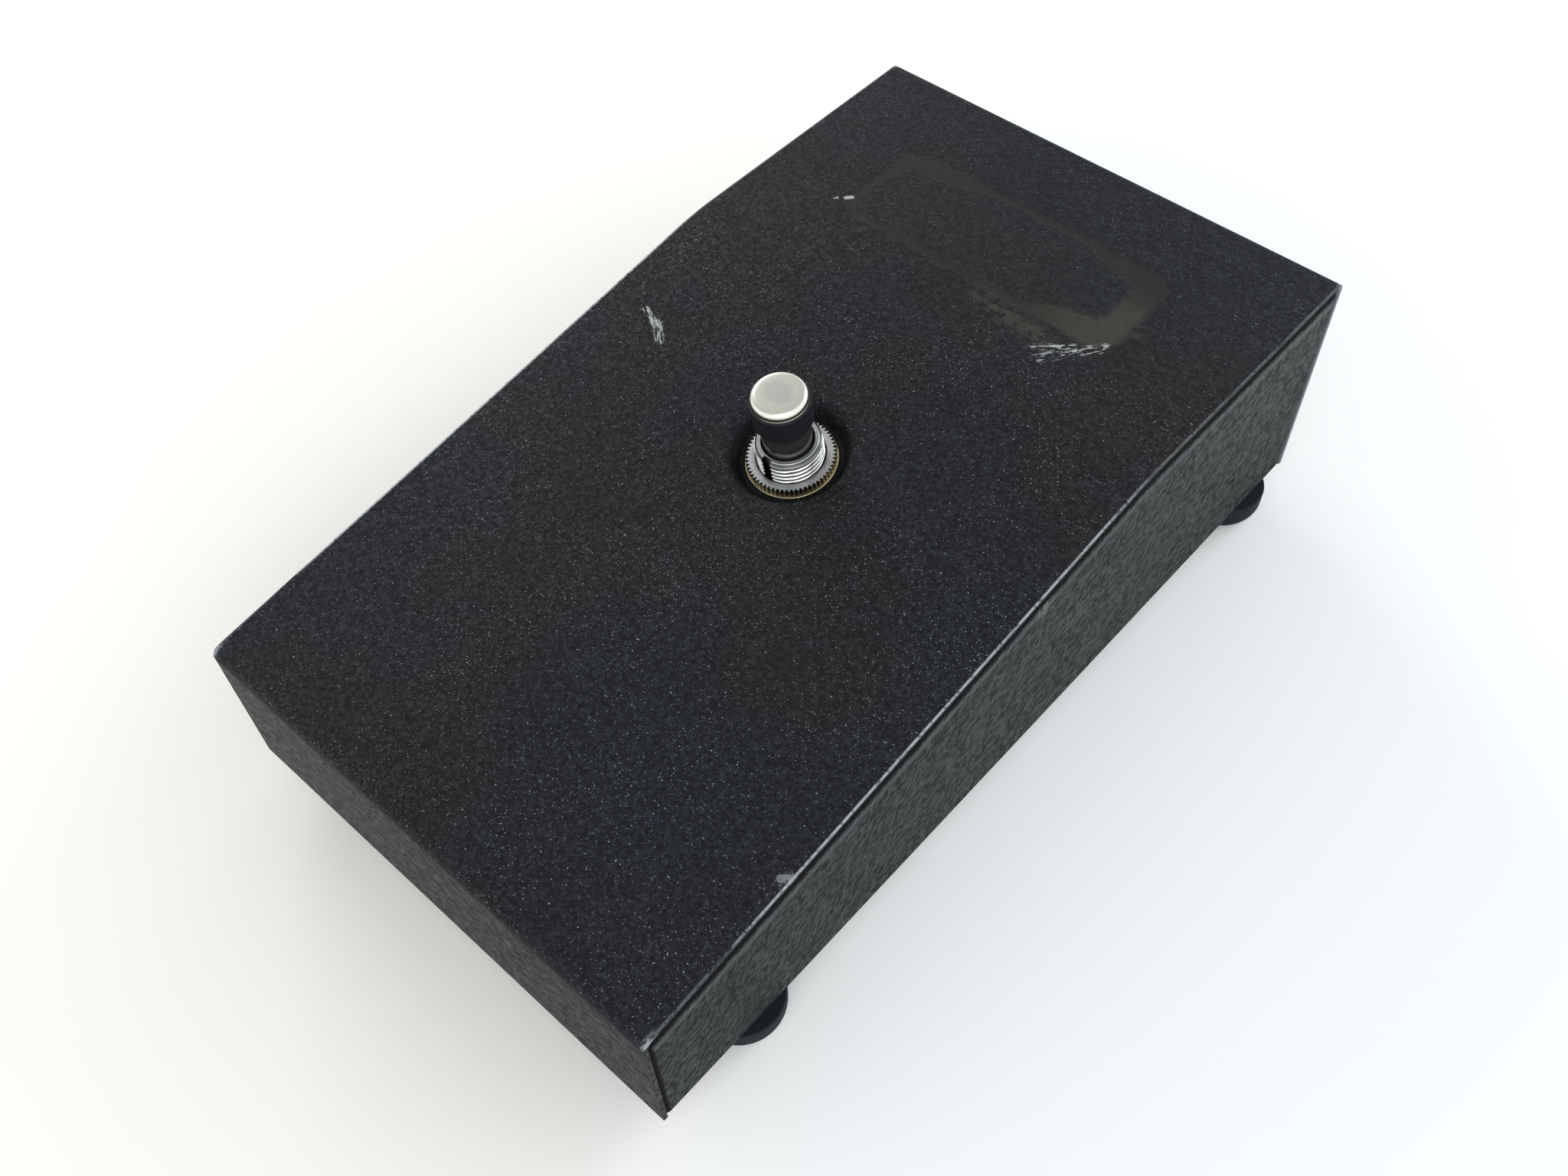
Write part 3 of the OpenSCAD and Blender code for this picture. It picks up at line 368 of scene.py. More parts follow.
def body_paint(kind):
    """Black wrinkled enamel with fine painted glints, its crests painted lighter as highlight and
    its hollows darker as shade. The cover's also carries its wear.
    """
    g = Graph("paint_" + kind)
    x, y, z = g.split()
    forward = g.math("SUBTRACT", y, FRONT_Y)
    flat = g.join(x, forward, 0.0)
    side = kind == "side"
    if side:
        # Slanting lumps, longer upwards than along
        slanted = g.join(x, g.mul(g.math("SUBTRACT", y, z), 0.95), g.mul(g.add(y, z), 0.40))
        lumps = g.noise(1.3, 2, 0.5, at=slanted, warp=0.35)
        fine = g.noise(3.2, 2, 0.5, at=slanted)
    else:
        # On the front face the wrinkles run across
        front = g.step(z, BODY_Z + 31.5, BODY_Z + 29.5)
        front = g.mul(front, g.step(forward, 4.0, 1.0))
        wide, high_up = g.blend(front, 1.0, 0.40), g.blend(front, 1.0, 0.95)
        squeezed = g.join(g.mul(x, wide), y, g.mul(z, high_up))
        lumps = g.noise(1.15, 3, 0.6, at=squeezed, warp=0.5)
        fine = g.noise(3.0, 2, 0.55, at=squeezed)
    height = g.add(g.mul(lumps, 0.72), g.mul(fine, 0.28))

    if side:
        # The crests are painted lighter as highlight and the hollows darker as shade
        crest = g.step(height, 0.42, 0.57)
        # Painted sheen: the crests are painted lighter towards the rear
        rearward_sheen = g.range(g.math("DIVIDE", forward, BODY_L), 0.55, 1.0)
        pale = g.vec("SCALE", (0.031, 0.0365, 0.0368), scale=rearward_sheen)
        colour = g.mix(crest, (0.0014, 0.0017, 0.0019), pale)
        rough = g.blend(crest, 0.75, 0.48)
        # Painted glints: bright spots put into the colour
        glint_colour, share = (0.16, 0.18, 0.175), 0.5
        glint_spots = g.step(g.noise(1.9, 2, 0.6, at=slanted), 0.66, 0.74)
    else:
        # The crests are painted lighter as highlight and the hollows darker as shade
        crest = g.step(height, 0.40, 0.66)
        coarse = g.noise(0.05, 3, 0.6)
        bluer = g.step(g.noise(0.018, 3, 0.6), 0.42, 0.60)
        dark = g.mix(bluer, (0.0046, 0.0043, 0.0042), (0.0032, 0.0039, 0.0066))
        pale = g.mix(bluer, (0.0165, 0.0160, 0.0160), (0.0135, 0.0158, 0.0240))
        colour = g.mix(crest, dark, pale)
        # The front face gets a lighter painted copy of the paint, for the light that falls on it,
        # with painted highlight on its crests and painted shade in its hollows
        wrinkle = g.step(height, 0.42, 0.60)
        face = g.mix(wrinkle, (0.0012, 0.0012, 0.0011), (0.034, 0.0350, 0.0315))
        colour = g.mix(front, colour, face)
        rough = g.blend(crest, 0.72, 0.50)
        # Painted glints: bright spots put into the colour
        glint_colour, share = (0.42, 0.45, 0.52), 0.9
        rear_part = g.step(forward, 118, 150)
        colour = g.mix(g.mul(rear_part, 0.55), colour, (0.0062, 0.0078, 0.0102))
        many = g.math("SUBTRACT", g.range(coarse, 0.035, -0.045), g.mul(rear_part, 0.022))
        seed = g.add(g.noise(3.9, 2, 0.55), many)
        glint_spots = g.step(seed, 0.672, 0.715)
    colour = g.mix(g.mul(glint_spots, share), colour, glint_colour)
    depth = height

    if kind == "cover":
        # The glue that a badge left: an uneven outline, two smears and a worn middle
        wander = g.math("SUBTRACT", g.noise(0.22, 3, 0.6), 0.5)
        outline = rounded_box(g, flat, (-1.0, 150.4), (31.2, 11.7), 5.6)
        outline = g.add(outline, g.mul(wander, 2.6))
        far = g.step(forward, 150, 163)
        left = g.step(x, -8, -26)
        right = g.step(x, 8, 24)
        near = g.step(forward, 148, 141)
        wide = g.add(0.9, g.add(g.mul(g.mul(far, left), 3.2), g.mul(right, 2.0)))
        wide = g.add(wide, g.mul(g.mul(near, right), 1.3))
        band = g.math("SUBTRACT", wide, g.math("ABSOLUTE", g.add(outline, wide)))
        band = g.step(band, -0.7, 1.0)
        smear = g.step(streak(g, flat, (4, 137.2), (19, 135.2)), 4.4, 0.8)
        corner = g.step(streak(g, flat, (25.5, 141.5), (29.5, 147.0)), 4.6, 0.6)
        ragged = g.step(g.noise(0.60, 4, 0.7, stretch=(0.8, 1.3, 1)), 0.42, 0.55)
        smear = g.mul(g.math("MAXIMUM", smear, corner), ragged)
        inside = g.step(outline, 0.6, -1.2)
        lip = g.mul(g.step(g.math("ABSOLUTE", g.math("SUBTRACT", outline, 0.9)), 0.9, 0.3), 0.8)
        glue = g.math("MAXIMUM", g.mul(band, 0.9), g.mul(smear, 0.9), clamp=True)
        top = g.step(z, TOP_Z - 8, TOP_Z - 4)
        glue, inside, lip = (g.mul(v, top) for v in (glue, inside, lip))
        worn = g.mul(g.step(g.noise(0.55, 4, 0.7), 0.40, 0.62), 0.55)
        tone = g.mix(g.noise(0.9, 3, 0.65), (0.0125, 0.0130, 0.0098), (0.022, 0.0225, 0.0172))
        pale_glue = g.mix(g.noise(1.1, 3, 0.7), (0.026, 0.025, 0.019), (0.066, 0.062, 0.049))
        tone = g.mix(g.mul(g.mul(right, g.step(forward, 158, 148)), 0.85), tone, pale_glue)
        tone = g.mix(g.mul(smear, 0.75), tone, pale_glue)
        colour = g.mix(g.mul(inside, g.mul(worn, 0.6)), colour, (0.021, 0.023, 0.021))
        colour = g.mix(g.mul(glue, 0.86), colour, tone)
        colour = g.mix(g.mul(lip, g.mul(ragged, 0.45)), colour, (0.004, 0.004, 0.0045))
        rough = g.blend(glue, rough, 0.62)
        filled = g.math("MAXIMUM", g.mul(glue, 0.75), g.mul(inside, 0.25))
        depth = g.mul(depth, g.blend(filled, 1.0, 0.2))

        # Scratches down to a chalky white
        above = g.step(z, BODY_Z + 31, BODY_Z + 33)
        for start, end, reach, cut in SCRATCHES:
            mark = g.mul(broken_line(g, flat, start, end, reach, cut), above)
            colour = g.mix(mark, colour, (0.36, 0.37, 0.37))
            rough = g.blend(mark, rough, 0.6)
        chip = g.step(streak(g, flat, (50.6, 31.2), (51.3, 32.0)), 1.1, 0.5)
        chip = g.mul(chip, g.step(g.noise(0.9, 3, 0.6), 0.36, 0.50))
        colour = g.mix(g.mul(chip, 0.8), colour, (0.19, 0.20, 0.21))

        # Paint worn thin along the top's side edges, and at its front corners
        deep = below_top(g)
        out = g.math("ABSOLUTE", x)
        edge = g.mul(g.step(out, BODY_W / 2 - 0.42, BODY_W / 2 - 0.22), g.step(deep, 0.34, 0.18))
        long_way = g.mul(g.step(forward, 14, 30), g.step(forward, 124, 104))
        along = g.step(g.noise(0.09, 3, 0.7, stretch=(0, 1, 0)), 0.30, 0.50)
        shine = g.mul(g.add(g.mul(long_way, 0.80), 0.25), along)
        worn = g.mul(edge, g.mul(shine, g.step(g.noise(1.1, 3, 0.7), 0.30, 0.5)))
        tip = g.mul(g.step(out, BODY_W / 2 - 1.1, BODY_W / 2 - 0.2), g.step(forward, 4.0, 0.6))
        tip = g.mul(tip, g.mul(g.step(deep, 1.6, 0.7), g.step(g.noise(1.2, 3, 0.7), 0.34, 0.50)))
        worn = g.math("MAXIMUM", worn, g.mul(tip, 0.9))
        rear = g.mul(g.step(out, BODY_W / 2 - 0.9, BODY_W / 2 - 0.3),
                     g.step(forward, BODY_L - 2.4, BODY_L - 1.2))
        worn = g.math("MAXIMUM", worn, g.mul(rear, 0.45))
        colour = g.mix(g.mul(worn, 0.9), colour, (0.34, 0.36, 0.38))
        rough = g.blend(worn, rough, 0.40)

        # The dish's floor ring, painted darker as shade
        radial = off_axis(g)
        dish_shade = g.mul(g.step(radial, 11.4, 10.2), g.step(radial, 7.4, 8.2))
        colour = g.mix(g.mul(dish_shade, 0.55), colour, (0.0035, 0.0037, 0.0045))
        rough = g.blend(g.mul(dish_shade, 0.6), rough, 0.42)
    else:
        scuff = g.vec("LENGTH", g.vec("SUBTRACT", g.pos, (BODY_W / 2, FRONT_Y + 93, BODY_Z + 41)))
        mark = g.mul(g.step(scuff, 3.0, 0.5), g.step(g.noise(1.6, 3, 0.6), 0.46, 0.56))
        colour = g.mix(g.mul(mark, 0.6), colour, (0.25, 0.26, 0.25))
        deep = below_top(g)
        # Painted sheen on the side's top bend, below the groove
        sheen = g.mul(g.step(deep, 3.1, 4.0), g.step(deep, 5.6, 4.5))
        colour = g.mix(g.mul(sheen, 0.55), colour, (0.060, 0.063, 0.068))
        rough = g.blend(g.mul(sheen, 0.5), rough, 0.38)
        rear_edge = g.math("SUBTRACT", BODY_L, forward)
        from_end = g.math("MINIMUM", forward, rear_edge)
        # Painted shade in the grooves under the cover's edges, along the top and at both ends
        seam = g.math("MAXIMUM", g.step(deep, 3.4, 2.7), g.step(from_end, 2.1, 1.5))
        colour = g.mix(seam, colour, (0.0008, 0.0009, 0.0010))
        rough = g.blend(seam, rough, 0.95)
        foot = g.step(z, BODY_Z + 1.5, BODY_Z + 0.7)
        colour = g.mix(g.mul(foot, 0.85), colour, (0.003, 0.0032, 0.0032))
        rough = g.blend(foot, rough, 0.85)

    g.set(Base_Color=colour, Roughness=rough, Specular_IOR_Level=0.19 if side else 0.17)
    g.set(Normal=g.bump(depth, 0.55 if side else 0.42))
    return g.mat


def metal(name, colour, roughness, grain=0.03, tarnish=None, brushed=None, depth=0.01):
    """Plated or bare metal with light handling marks."""
    g = Graph(name)
    cloud = g.noise(0.35, 4, 0.6)
    fine = g.noise(9.0, 2, 0.5, stretch=brushed or (1, 1, 1))
    dull = tarnish or tuple(c * 0.6 for c in colour)
    base = g.mix(g.step(cloud, 0.42, 0.72), colour, dull)
    rough = g.add(roughness, g.mul(g.math("SUBTRACT", fine, 0.5), grain * 4))
    rough = g.add(rough, g.mul(g.step(cloud, 0.5, 0.8), 0.10))
    g.set(Base_Color=base, Metallic=1.0, Roughness=g.math("MAXIMUM", rough, 0.06))
    g.set(Normal=g.bump(fine, depth))
    return g.mat


def moulded(name, colour, roughness, depth=0.02, per_mm=3.0, lift=1.6, specular=0.4):
    """Plastic, rubber or laminate with a faint texture and uneven tone."""
    g = Graph(name)
    cloud = g.noise(0.25, 3, 0.6)
    fine = g.noise(per_mm, 3, 0.6)
    pale = tuple(min(1.0, c * lift + 0.002) for c in colour)
    base = g.mix(g.range(g.add(g.mul(cloud, 0.6), g.mul(fine, 0.4)), -0.3, 1.0), colour, pale)
    rough = g.add(roughness, g.mul(g.math("SUBTRACT", fine, 0.5), 0.25))
    g.set(Base_Color=base, Roughness=rough, Specular_IOR_Level=specular)
    g.set(Normal=g.bump(fine, depth))
    return g.mat


def banded(name, colour, bands, axis, roughness):
    """Plain lacquer with coloured rings along an axis, for small components."""
    g = Graph(name)
    parts = g.split()
    along = parts[axis]
    fine = g.noise(4.0, 2, 0.5)
    base = g.mix(fine, tuple(c * 0.8 for c in colour), colour)
    for centre, width, ring in bands:
        share = g.math("ABSOLUTE", g.math("SUBTRACT", along, centre))
        base = g.mix(g.step(share, width, width * 0.7), base, ring)
    g.set(Base_Color=base, Roughness=g.add(roughness, g.mul(fine, 0.1)))
    g.set(Normal=g.bump(fine, 0.01))
    return g.mat


def nut_metal():
    """The ring nut: satin plate with turning marks above, dark brass between the teeth, lighter at
    their tips.
    """
    g = Graph("ring_nut_plate")
    radial, up = off_axis(g), up_axis(g)
    fine = g.noise(7.0, 3, 0.6)
    turning = g.noise(9.0, 2, 0.5, at=g.join(radial, g.mul(up, 0.2), 0.0))
    plate = g.mix(g.step(fine, 0.30, 0.72), (0.46, 0.465, 0.465), (0.74, 0.745, 0.745))
    flank_mottle = g.step(g.noise(1.1, 3, 0.6), 0.42, 0.6)
    flank = g.mix(flank_mottle, (0.022, 0.019, 0.014), (0.10, 0.085, 0.055))
    crest = g.step(radial, NUT_CREST - 0.16, NUT_CREST - 0.02)
    flank = g.mix(g.mul(crest, 0.65), flank, (0.50, 0.45, 0.33))
    low = g.step(up, -1.52, -1.62)
    g.set(Base_Color=g.mix(low, plate, flank), Metallic=1.0)
    g.set(Roughness=g.add(g.blend(low, 0.34, 0.30), g.mul(turning, 0.14)))
    g.set(Normal=g.bump(g.add(fine, turning), 0.018))
    return g.mat


def sleeve_metal():
    """The threaded sleeve: satin end face, darker in the thread's roots, on the chamfer and in the
    bore.
    """
    g = Graph("sleeve_plate")
    radial, up = off_axis(g), up_axis(g)
    fine = g.noise(6.0, 3, 0.6)
    face = g.mix(g.step(fine, 0.32, 0.70), (0.42, 0.425, 0.425), (0.68, 0.685, 0.68))
    bright = g.mix(fine, (0.62, 0.62, 0.60), (0.80, 0.80, 0.79))
    root = g.step(radial, SLEEVE_CREST - 0.06, SLEEVE_CREST - 0.30)
    flank = g.mix(root, bright, (0.030, 0.030, 0.030))
    on_face = g.step(up, SLEEVE_FACE - 0.10, SLEEVE_FACE - 0.02)
    chamfer = g.mul(g.step(up, SLEEVE_FACE - 0.72, SLEEVE_FACE - 0.60), g.step(on_face, 0.5, 0.2))
    base = g.mix(g.mul(chamfer, 0.82), flank, (0.070, 0.072, 0.075))
    base = g.mix(on_face, base, face)
    inside = g.step(radial, 4.78, 4.68)
    base = g.mix(g.mul(inside, 0.7), base, (0.05, 0.05, 0.052))
    g.set(Base_Color=base, Metallic=1.0)
    g.set(Roughness=g.add(g.blend(on_face, 0.20, 0.33), g.mul(fine, 0.10)))
    g.set(Normal=g.bump(fine, 0.014))
    return g.mat


def cap_metal():
    """The button's cap: warm satin nickel, rubbed in the middle, polished at its edge, with painted
    shade on the edge and a painted dark reflection on the skirt.
    """
    g = Graph("cap_nickel")
    radial, up = off_axis(g), up_axis(g)
    fine = g.noise(6.0, 3, 0.65)
    cloud = g.math("SUBTRACT", g.noise(0.5, 3, 0.6), 0.5)
    middle = g.step(g.add(radial, g.mul(cloud, 3.0)), 3.2, 1.7)
    base = g.mix(middle, (0.86, 0.84, 0.745), (0.74, 0.735, 0.70))
    spots = g.mul(g.step(g.noise(2.0, 3, 0.7), 0.60, 0.72), middle)
    base = g.mix(g.mul(spots, 0.35), base, (0.50, 0.49, 0.46))
    # Painted dark reflection on the skirt
    skirt_dark_reflection = g.step(up, 14.75, 14.35)
    base = g.mix(g.mul(skirt_dark_reflection, 0.62), base, (0.16, 0.155, 0.14))
    seam = g.mul(g.step(up, 14.02, 13.95), 0.5)
    base = g.mix(seam, base, (0.75, 0.73, 0.66))
    # The rounded edge is painted darker as shade, and made smoother
    edge = g.step(radial, 3.9, 4.6)
    base = g.mix(g.mul(edge, 0.5), base, (0.36, 0.35, 0.31))
    rough = g.blend(edge, g.add(0.30, g.mul(fine, 0.12)), 0.20)
    g.set(Base_Color=base, Metallic=1.0, Roughness=rough)
    g.set(Normal=g.bump(fine, 0.010))
    return g.mat


NUT_CREST = 8.0
SLEEVE_CREST, SLEEVE_FACE = 6.0, 3.0
COVER_PAINT = body_paint("cover")
SIDE_PAINT = body_paint("side")
NICKEL = metal("nickel", (0.62, 0.61, 0.58), 0.24)
BRIGHT = metal("bright_plate", (0.70, 0.71, 0.72), 0.20, grain=0.02)
ZINC = metal("zinc", (0.55, 0.56, 0.57), 0.30, tarnish=(0.40, 0.40, 0.38))
BRASS = metal("brass", (0.78, 0.60, 0.27), 0.20, tarnish=(0.46, 0.34, 0.14))
RIM_BRASS = metal("rim_brass", (0.66, 0.58, 0.38), 0.24, tarnish=(0.16, 0.13, 0.075))
STEEL = metal("case_steel", (0.50, 0.50, 0.50), 0.32, brushed=(0.2, 1, 3))
TINNED = metal("tinned", (0.62, 0.62, 0.60), 0.34)
WIRE_STEEL = metal("spring_wire", (0.45, 0.45, 0.46), 0.22)
CAN_METAL = metal("transistor_can", (0.55, 0.55, 0.55), 0.28)
RUBBER = moulded("rubber", (0.0062, 0.0080, 0.0120), 0.62, depth=0.02, per_mm=2.2, specular=0.12)
BASE_STEEL = moulded("base_paint", (0.030, 0.031, 0.033), 0.45, depth=0.05, per_mm=1.4)
PHENOLIC = moulded("phenolic", (0.16, 0.07, 0.03), 0.5, per_mm=2.0)
GRIP_PLASTIC = moulded(
    "grip_plastic", (0.0052, 0.0060, 0.0075), 0.50, per_mm=4.0, depth=0.012, specular=0.26)
NECK_BLACK = moulded(
    "neck_black", (0.012, 0.012, 0.012), 0.17, per_mm=2.5, depth=0.010, specular=0.75)
POINTER_WHITE = moulded("pointer_white", (0.72, 0.71, 0.66), 0.45, lift=1.1)
BLACK_PLASTIC = moulded("black_plastic", (0.014, 0.015, 0.017), 0.34, per_mm=3.0, depth=0.015)
BOARD = moulded("board_laminate", (0.30, 0.17, 0.07), 0.55, per_mm=2.5)
NYLON = moulded("nylon", (0.72, 0.70, 0.64), 0.45, lift=1.1)
VINYL = moulded("snap_vinyl", (0.02, 0.02, 0.022), 0.55)
WIRE_PVC = moulded("wire_pvc", (0.35, 0.03, 0.03), 0.42, lift=1.25)
BATTERY = banded("battery_shell", (0.05, 0.05, 0.055), [(10.0, 6.0, (0.45, 0.33, 0.12))], 0, 0.3)
RESISTOR = banded(
    "resistor_lacquer", (0.55, 0.40, 0.22),
    [(-13.6, 0.28, (0.25, 0.05, 0.02)), (-12.5, 0.28, (0.02, 0.02, 0.02)),
     (-11.4, 0.28, (0.6, 0.25, 0.03)), (-10.2, 0.25, (0.5, 0.4, 0.1)),
     (-1.6, 0.28, (0.25, 0.05, 0.02)), (-0.5, 0.28, (0.35, 0.02, 0.25)),
     (0.6, 0.28, (0.6, 0.1, 0.02)), (1.8, 0.25, (0.5, 0.4, 0.1))], 0, 0.4)
CAPACITOR = banded("capacitor_sleeve", (0.03, 0.09, 0.35), [(24.9, 0.35, (0.5, 0.5, 0.52))], 2, 0.3)

BY_SLOT = {
    "body_paint": SIDE_PAINT, "base_steel": BASE_STEEL, "black_rubber": RUBBER, "zinc": ZINC,
    "nickel": NICKEL, "brass": BRASS, "case_steel": STEEL, "phenolic": PHENOLIC,
    "black_plastic": BLACK_PLASTIC, "tinned": TINNED, "spring_steel": WIRE_STEEL,
    "board": BOARD, "nylon": NYLON, "resistor": RESISTOR, "capacitor": CAPACITOR,
    "transistor": CAN_METAL, "battery_shell": BATTERY, "snap_vinyl": VINYL,
    "wire_pvc": WIRE_PVC,
}
for name, obj in NODES.items():
    obj.data.materials.clear()
    obj.data.materials.append(BY_SLOT[SLOT_OF[name]])

# ---- Enclosure ----
softened("cover_shell", 0.16, COVER_PAINT)
softened("side_panel_left", 0.12, SIDE_PAINT)
softened("side_panel_right", 0.12, SIDE_PAINT)
softened("base_plate", 0.25, BASE_STEEL)


# ---- Threads and nuts ----
ROUND_SIDES = 96


def thread_cut(a, z, pitch, top, bottom):
    """How deep the thread is at angle a and height z, from 0 at a crest to 1 at a root."""
    ridge = abs(2 * ((z / pitch - a / (2 * math.pi)) % 1) - 1)
    cut = min(1.0, max(0.0, 1.7 * ridge - 0.35))
    return cut * max(0.0, min(1.0, (top - z) / 0.2, (z - bottom) / 0.3))


def barrel(name, at, r, bore, z0, z1, thread_low, pitch, depth, material, body, nodes,
           chamfer=0.5, flange=None, key=None):
    """A threaded tube from z0 to z1. bore is its inner line as (radius, height), from the top."""
    count = math.ceil((z1 - thread_low) / (pitch / 10))
    wall = [(r, thread_low + (z1 - thread_low) * k / count) for k in range(count + 1)]
    foot = [(r, z0)]
    if flange:
        foot = [(flange[0], z0), (flange[0], z0 + flange[1]), (r, z0 + flange[1])]
    angles = even(120)
    half = math.asin(key[0] / 2 / r) if key else 0
    down = 3 * math.pi / 2
    if key:
        angles = [a for a in angles if abs(a - down) > half + 0.01]
        angles = sorted(angles + [down + k * half / 2 for k in range(-2, 3)]
                        + [down - half - 0.003, down + half + 0.003])

    def shape(a, radius, z):
        if radius == r and z >= thread_low:
            radius -= depth * thread_cut(a, z, pitch, z1 - chamfer * 0.6, thread_low)
            radius = min(radius, r - chamfer + (z1 - z))
            if key and abs(a - down) <= half + 0.0005:
                radius = min(radius, (r - key[1]) / math.cos(a - down))
        return radius, z

    bm = bmesh.new()
    turned(bm, at, foot + wall + bore, angles, shape)
    return finish_mesh(name, bm, material, body, angle=32, nodes=nodes)


def hex_piece(name, at, flats, bore, z0, z1, material, body, nodes, turn=0.0, cone=0.55):
    """A hexagon nut whose corners are turned down to a cone on its outer face."""
    across = flats / 2
    heights = [z0] + [z1 - cone * (1 - k / 6) for k in range(7)]
    profile = [(bore, z1 - 0.3), (bore, z0)] + [(across, z) for z in heights]
    profile += [(across - 0.35, z1), (bore + 0.3, z1)]

    def shape(a, radius, z):
        if radius < across:
            return radius, z
        flat = across / math.cos((a + turn + math.pi / 6) % (math.pi / 3) - math.pi / 6)
        return min(flat, across - 0.25 + (z1 - z) * 1.75), z

    bm = bmesh.new()
    turned(bm, at, profile, even(144), shape)
    return finish_mesh(name, bm, material, body, angle=22, nodes=nodes)


def ring(name, at, r, bore, z0, z1, material, body, nodes, edge=0.12):
    """A flat round piece with its outer edges broken."""
    bm = bmesh.new()
    profile = [(bore, z0), (r, z0), (r, z1), (bore, z1)]
    turned(bm, at, rounded(profile, [0, edge, edge, 0], 4), even(ROUND_SIDES))
    return finish_mesh(name, bm, material, body, angle=50, nodes=nodes)


# ---- Footswitch, in its own frame: heights are above the top's surface ----
THREAD_R, MOUTH_R, BORE_R = 6.0, 4.65, 4.40
SLEEVE_UP = 3.0
MOUTH_DEPTH = 2.0
BUSH_LOW = -8.95
WASHER_LOW, WASHER_T = -3.35, 0.45
NUT_LOW, NUT_T = -2.90, 1.5
NUT_R, TEETH, TOOTH = 8.0, 60, 0.72
STEM_R, COLLAR_R, PILOT_R, SPIGOT_R = 4.35, 5.5, 2.4, 2.6
COLLAR_LOW, COLLAR_TOP, SPIGOT_TOP = -10.55, -9.15, 14.35
GRIP_R, GRIP_LOW, GRIP_TOP = 5.25, 8.6, 13.8
CAP_R, CAP_TOP, CAP_WALL = 5.0, 15.7, 0.35

barrel(
    "switch_sleeve_threaded", SWITCH, THREAD_R,
    [(MOUTH_R + 0.12, SLEEVE_UP), (MOUTH_R, SLEEVE_UP - 0.12), (MOUTH_R, SLEEVE_UP - MOUTH_DEPTH),
     (BORE_R, SLEEVE_UP - MOUTH_DEPTH), (BORE_R, BUSH_LOW)],
    BUSH_LOW, SLEEVE_UP, NUT_LOW, 1.0, 0.50, sleeve_metal(), "enclosure", ["switch_bushing"],
    chamfer=0.62, flange=(7.5, 1.2), key=(1.9, 1.0))


def knurled(a, r, z):
    """Cuts triangular teeth in the nut's rim, open to its upper face."""
    if r < NUT_R - 0.3:
        return r, z
    ridge = abs(2 * ((a * TEETH / (2 * math.pi)) % 1) - 1)
    return r - TOOTH * ridge, z


NUT_TOP = NUT_LOW + NUT_T
bm = bmesh.new()
turned(bm, SWITCH, [
    (THREAD_R + 0.05, NUT_LOW + 0.2), (THREAD_R + 0.25, NUT_LOW), (NUT_R - 0.9, NUT_LOW),
    (NUT_R, NUT_LOW + 0.12), (NUT_R, NUT_TOP - 0.10), (NUT_R - 0.10, NUT_TOP),
    (NUT_R - 0.95, NUT_TOP + 0.03), (THREAD_R + 0.40, NUT_TOP + 0.03),
    (THREAD_R + 0.32, NUT_TOP), (THREAD_R + 0.05, NUT_TOP - 0.4)], even(TEETH * 6), knurled)
finish_mesh("ring_nut_knurled", bm, nut_metal(), "enclosure", angle=25, nodes=["switch_ring_nut"])

ring("switch_washer_rim", SWITCH, NUT_R + 0.3, THREAD_R + 0.15, WASHER_LOW, WASHER_LOW + WASHER_T,
     RIM_BRASS, "enclosure", ["switch_washer"])

bm = bmesh.new()
turned(bm, SWITCH, rounded(
    [(0, CAP_TOP - 1.0), (CAP_R - CAP_WALL, CAP_TOP - 1.0), (CAP_R - CAP_WALL, CAP_TOP - 1.9),
     (CAP_R + 0.04, CAP_TOP - 1.9), (CAP_R + 0.06, CAP_TOP - 1.62), (CAP_R - 0.02, CAP_TOP - 1.45),
     (CAP_R - 0.02, CAP_TOP - 0.05), (3.0, CAP_TOP), (0, CAP_TOP)],
    [0, 0, 0, 0.1, 0.08, 0.05, 1.28, 0, 0], 10), even(128))
finish_mesh("button_cap", bm, cap_metal(), "plunger", angle=60, nodes=["plunger_cap"])

bm = bmesh.new()
turned(bm, SWITCH, rounded(
    [(SPIGOT_R, GRIP_LOW), (GRIP_R, GRIP_LOW), (GRIP_R, GRIP_TOP), (CAP_R - CAP_WALL, GRIP_TOP),
     (CAP_R - CAP_WALL, CAP_TOP - 1.01), (SPIGOT_R, CAP_TOP - 1.01)],
    [0, 0.55, 0.22, 0, 0, 0], 6), even(128))
finish_mesh("button_sleeve", bm, GRIP_PLASTIC, "plunger", angle=50, nodes=["plunger_sleeve"])

bm = bmesh.new()
turned(bm, SWITCH, rounded(
    [(0, COLLAR_LOW - 1.4), (PILOT_R, COLLAR_LOW - 1.4), (PILOT_R, COLLAR_LOW),
     (COLLAR_R, COLLAR_LOW), (COLLAR_R, COLLAR_TOP), (STEM_R, COLLAR_TOP),
     (STEM_R, 5.1), (STEM_R - 0.55, 6.6), (STEM_R - 0.55, GRIP_LOW),
     (SPIGOT_R, GRIP_LOW), (SPIGOT_R, SPIGOT_TOP), (0, SPIGOT_TOP)],
    [0, 0.3, 0, 0.2, 0.2, 0.1, 1.2, 1.2, 0, 0, 0.3, 0], 5), even(96))
finish_mesh("button_neck", bm, NECK_BLACK, "plunger", angle=50, nodes=["plunger_stem"])

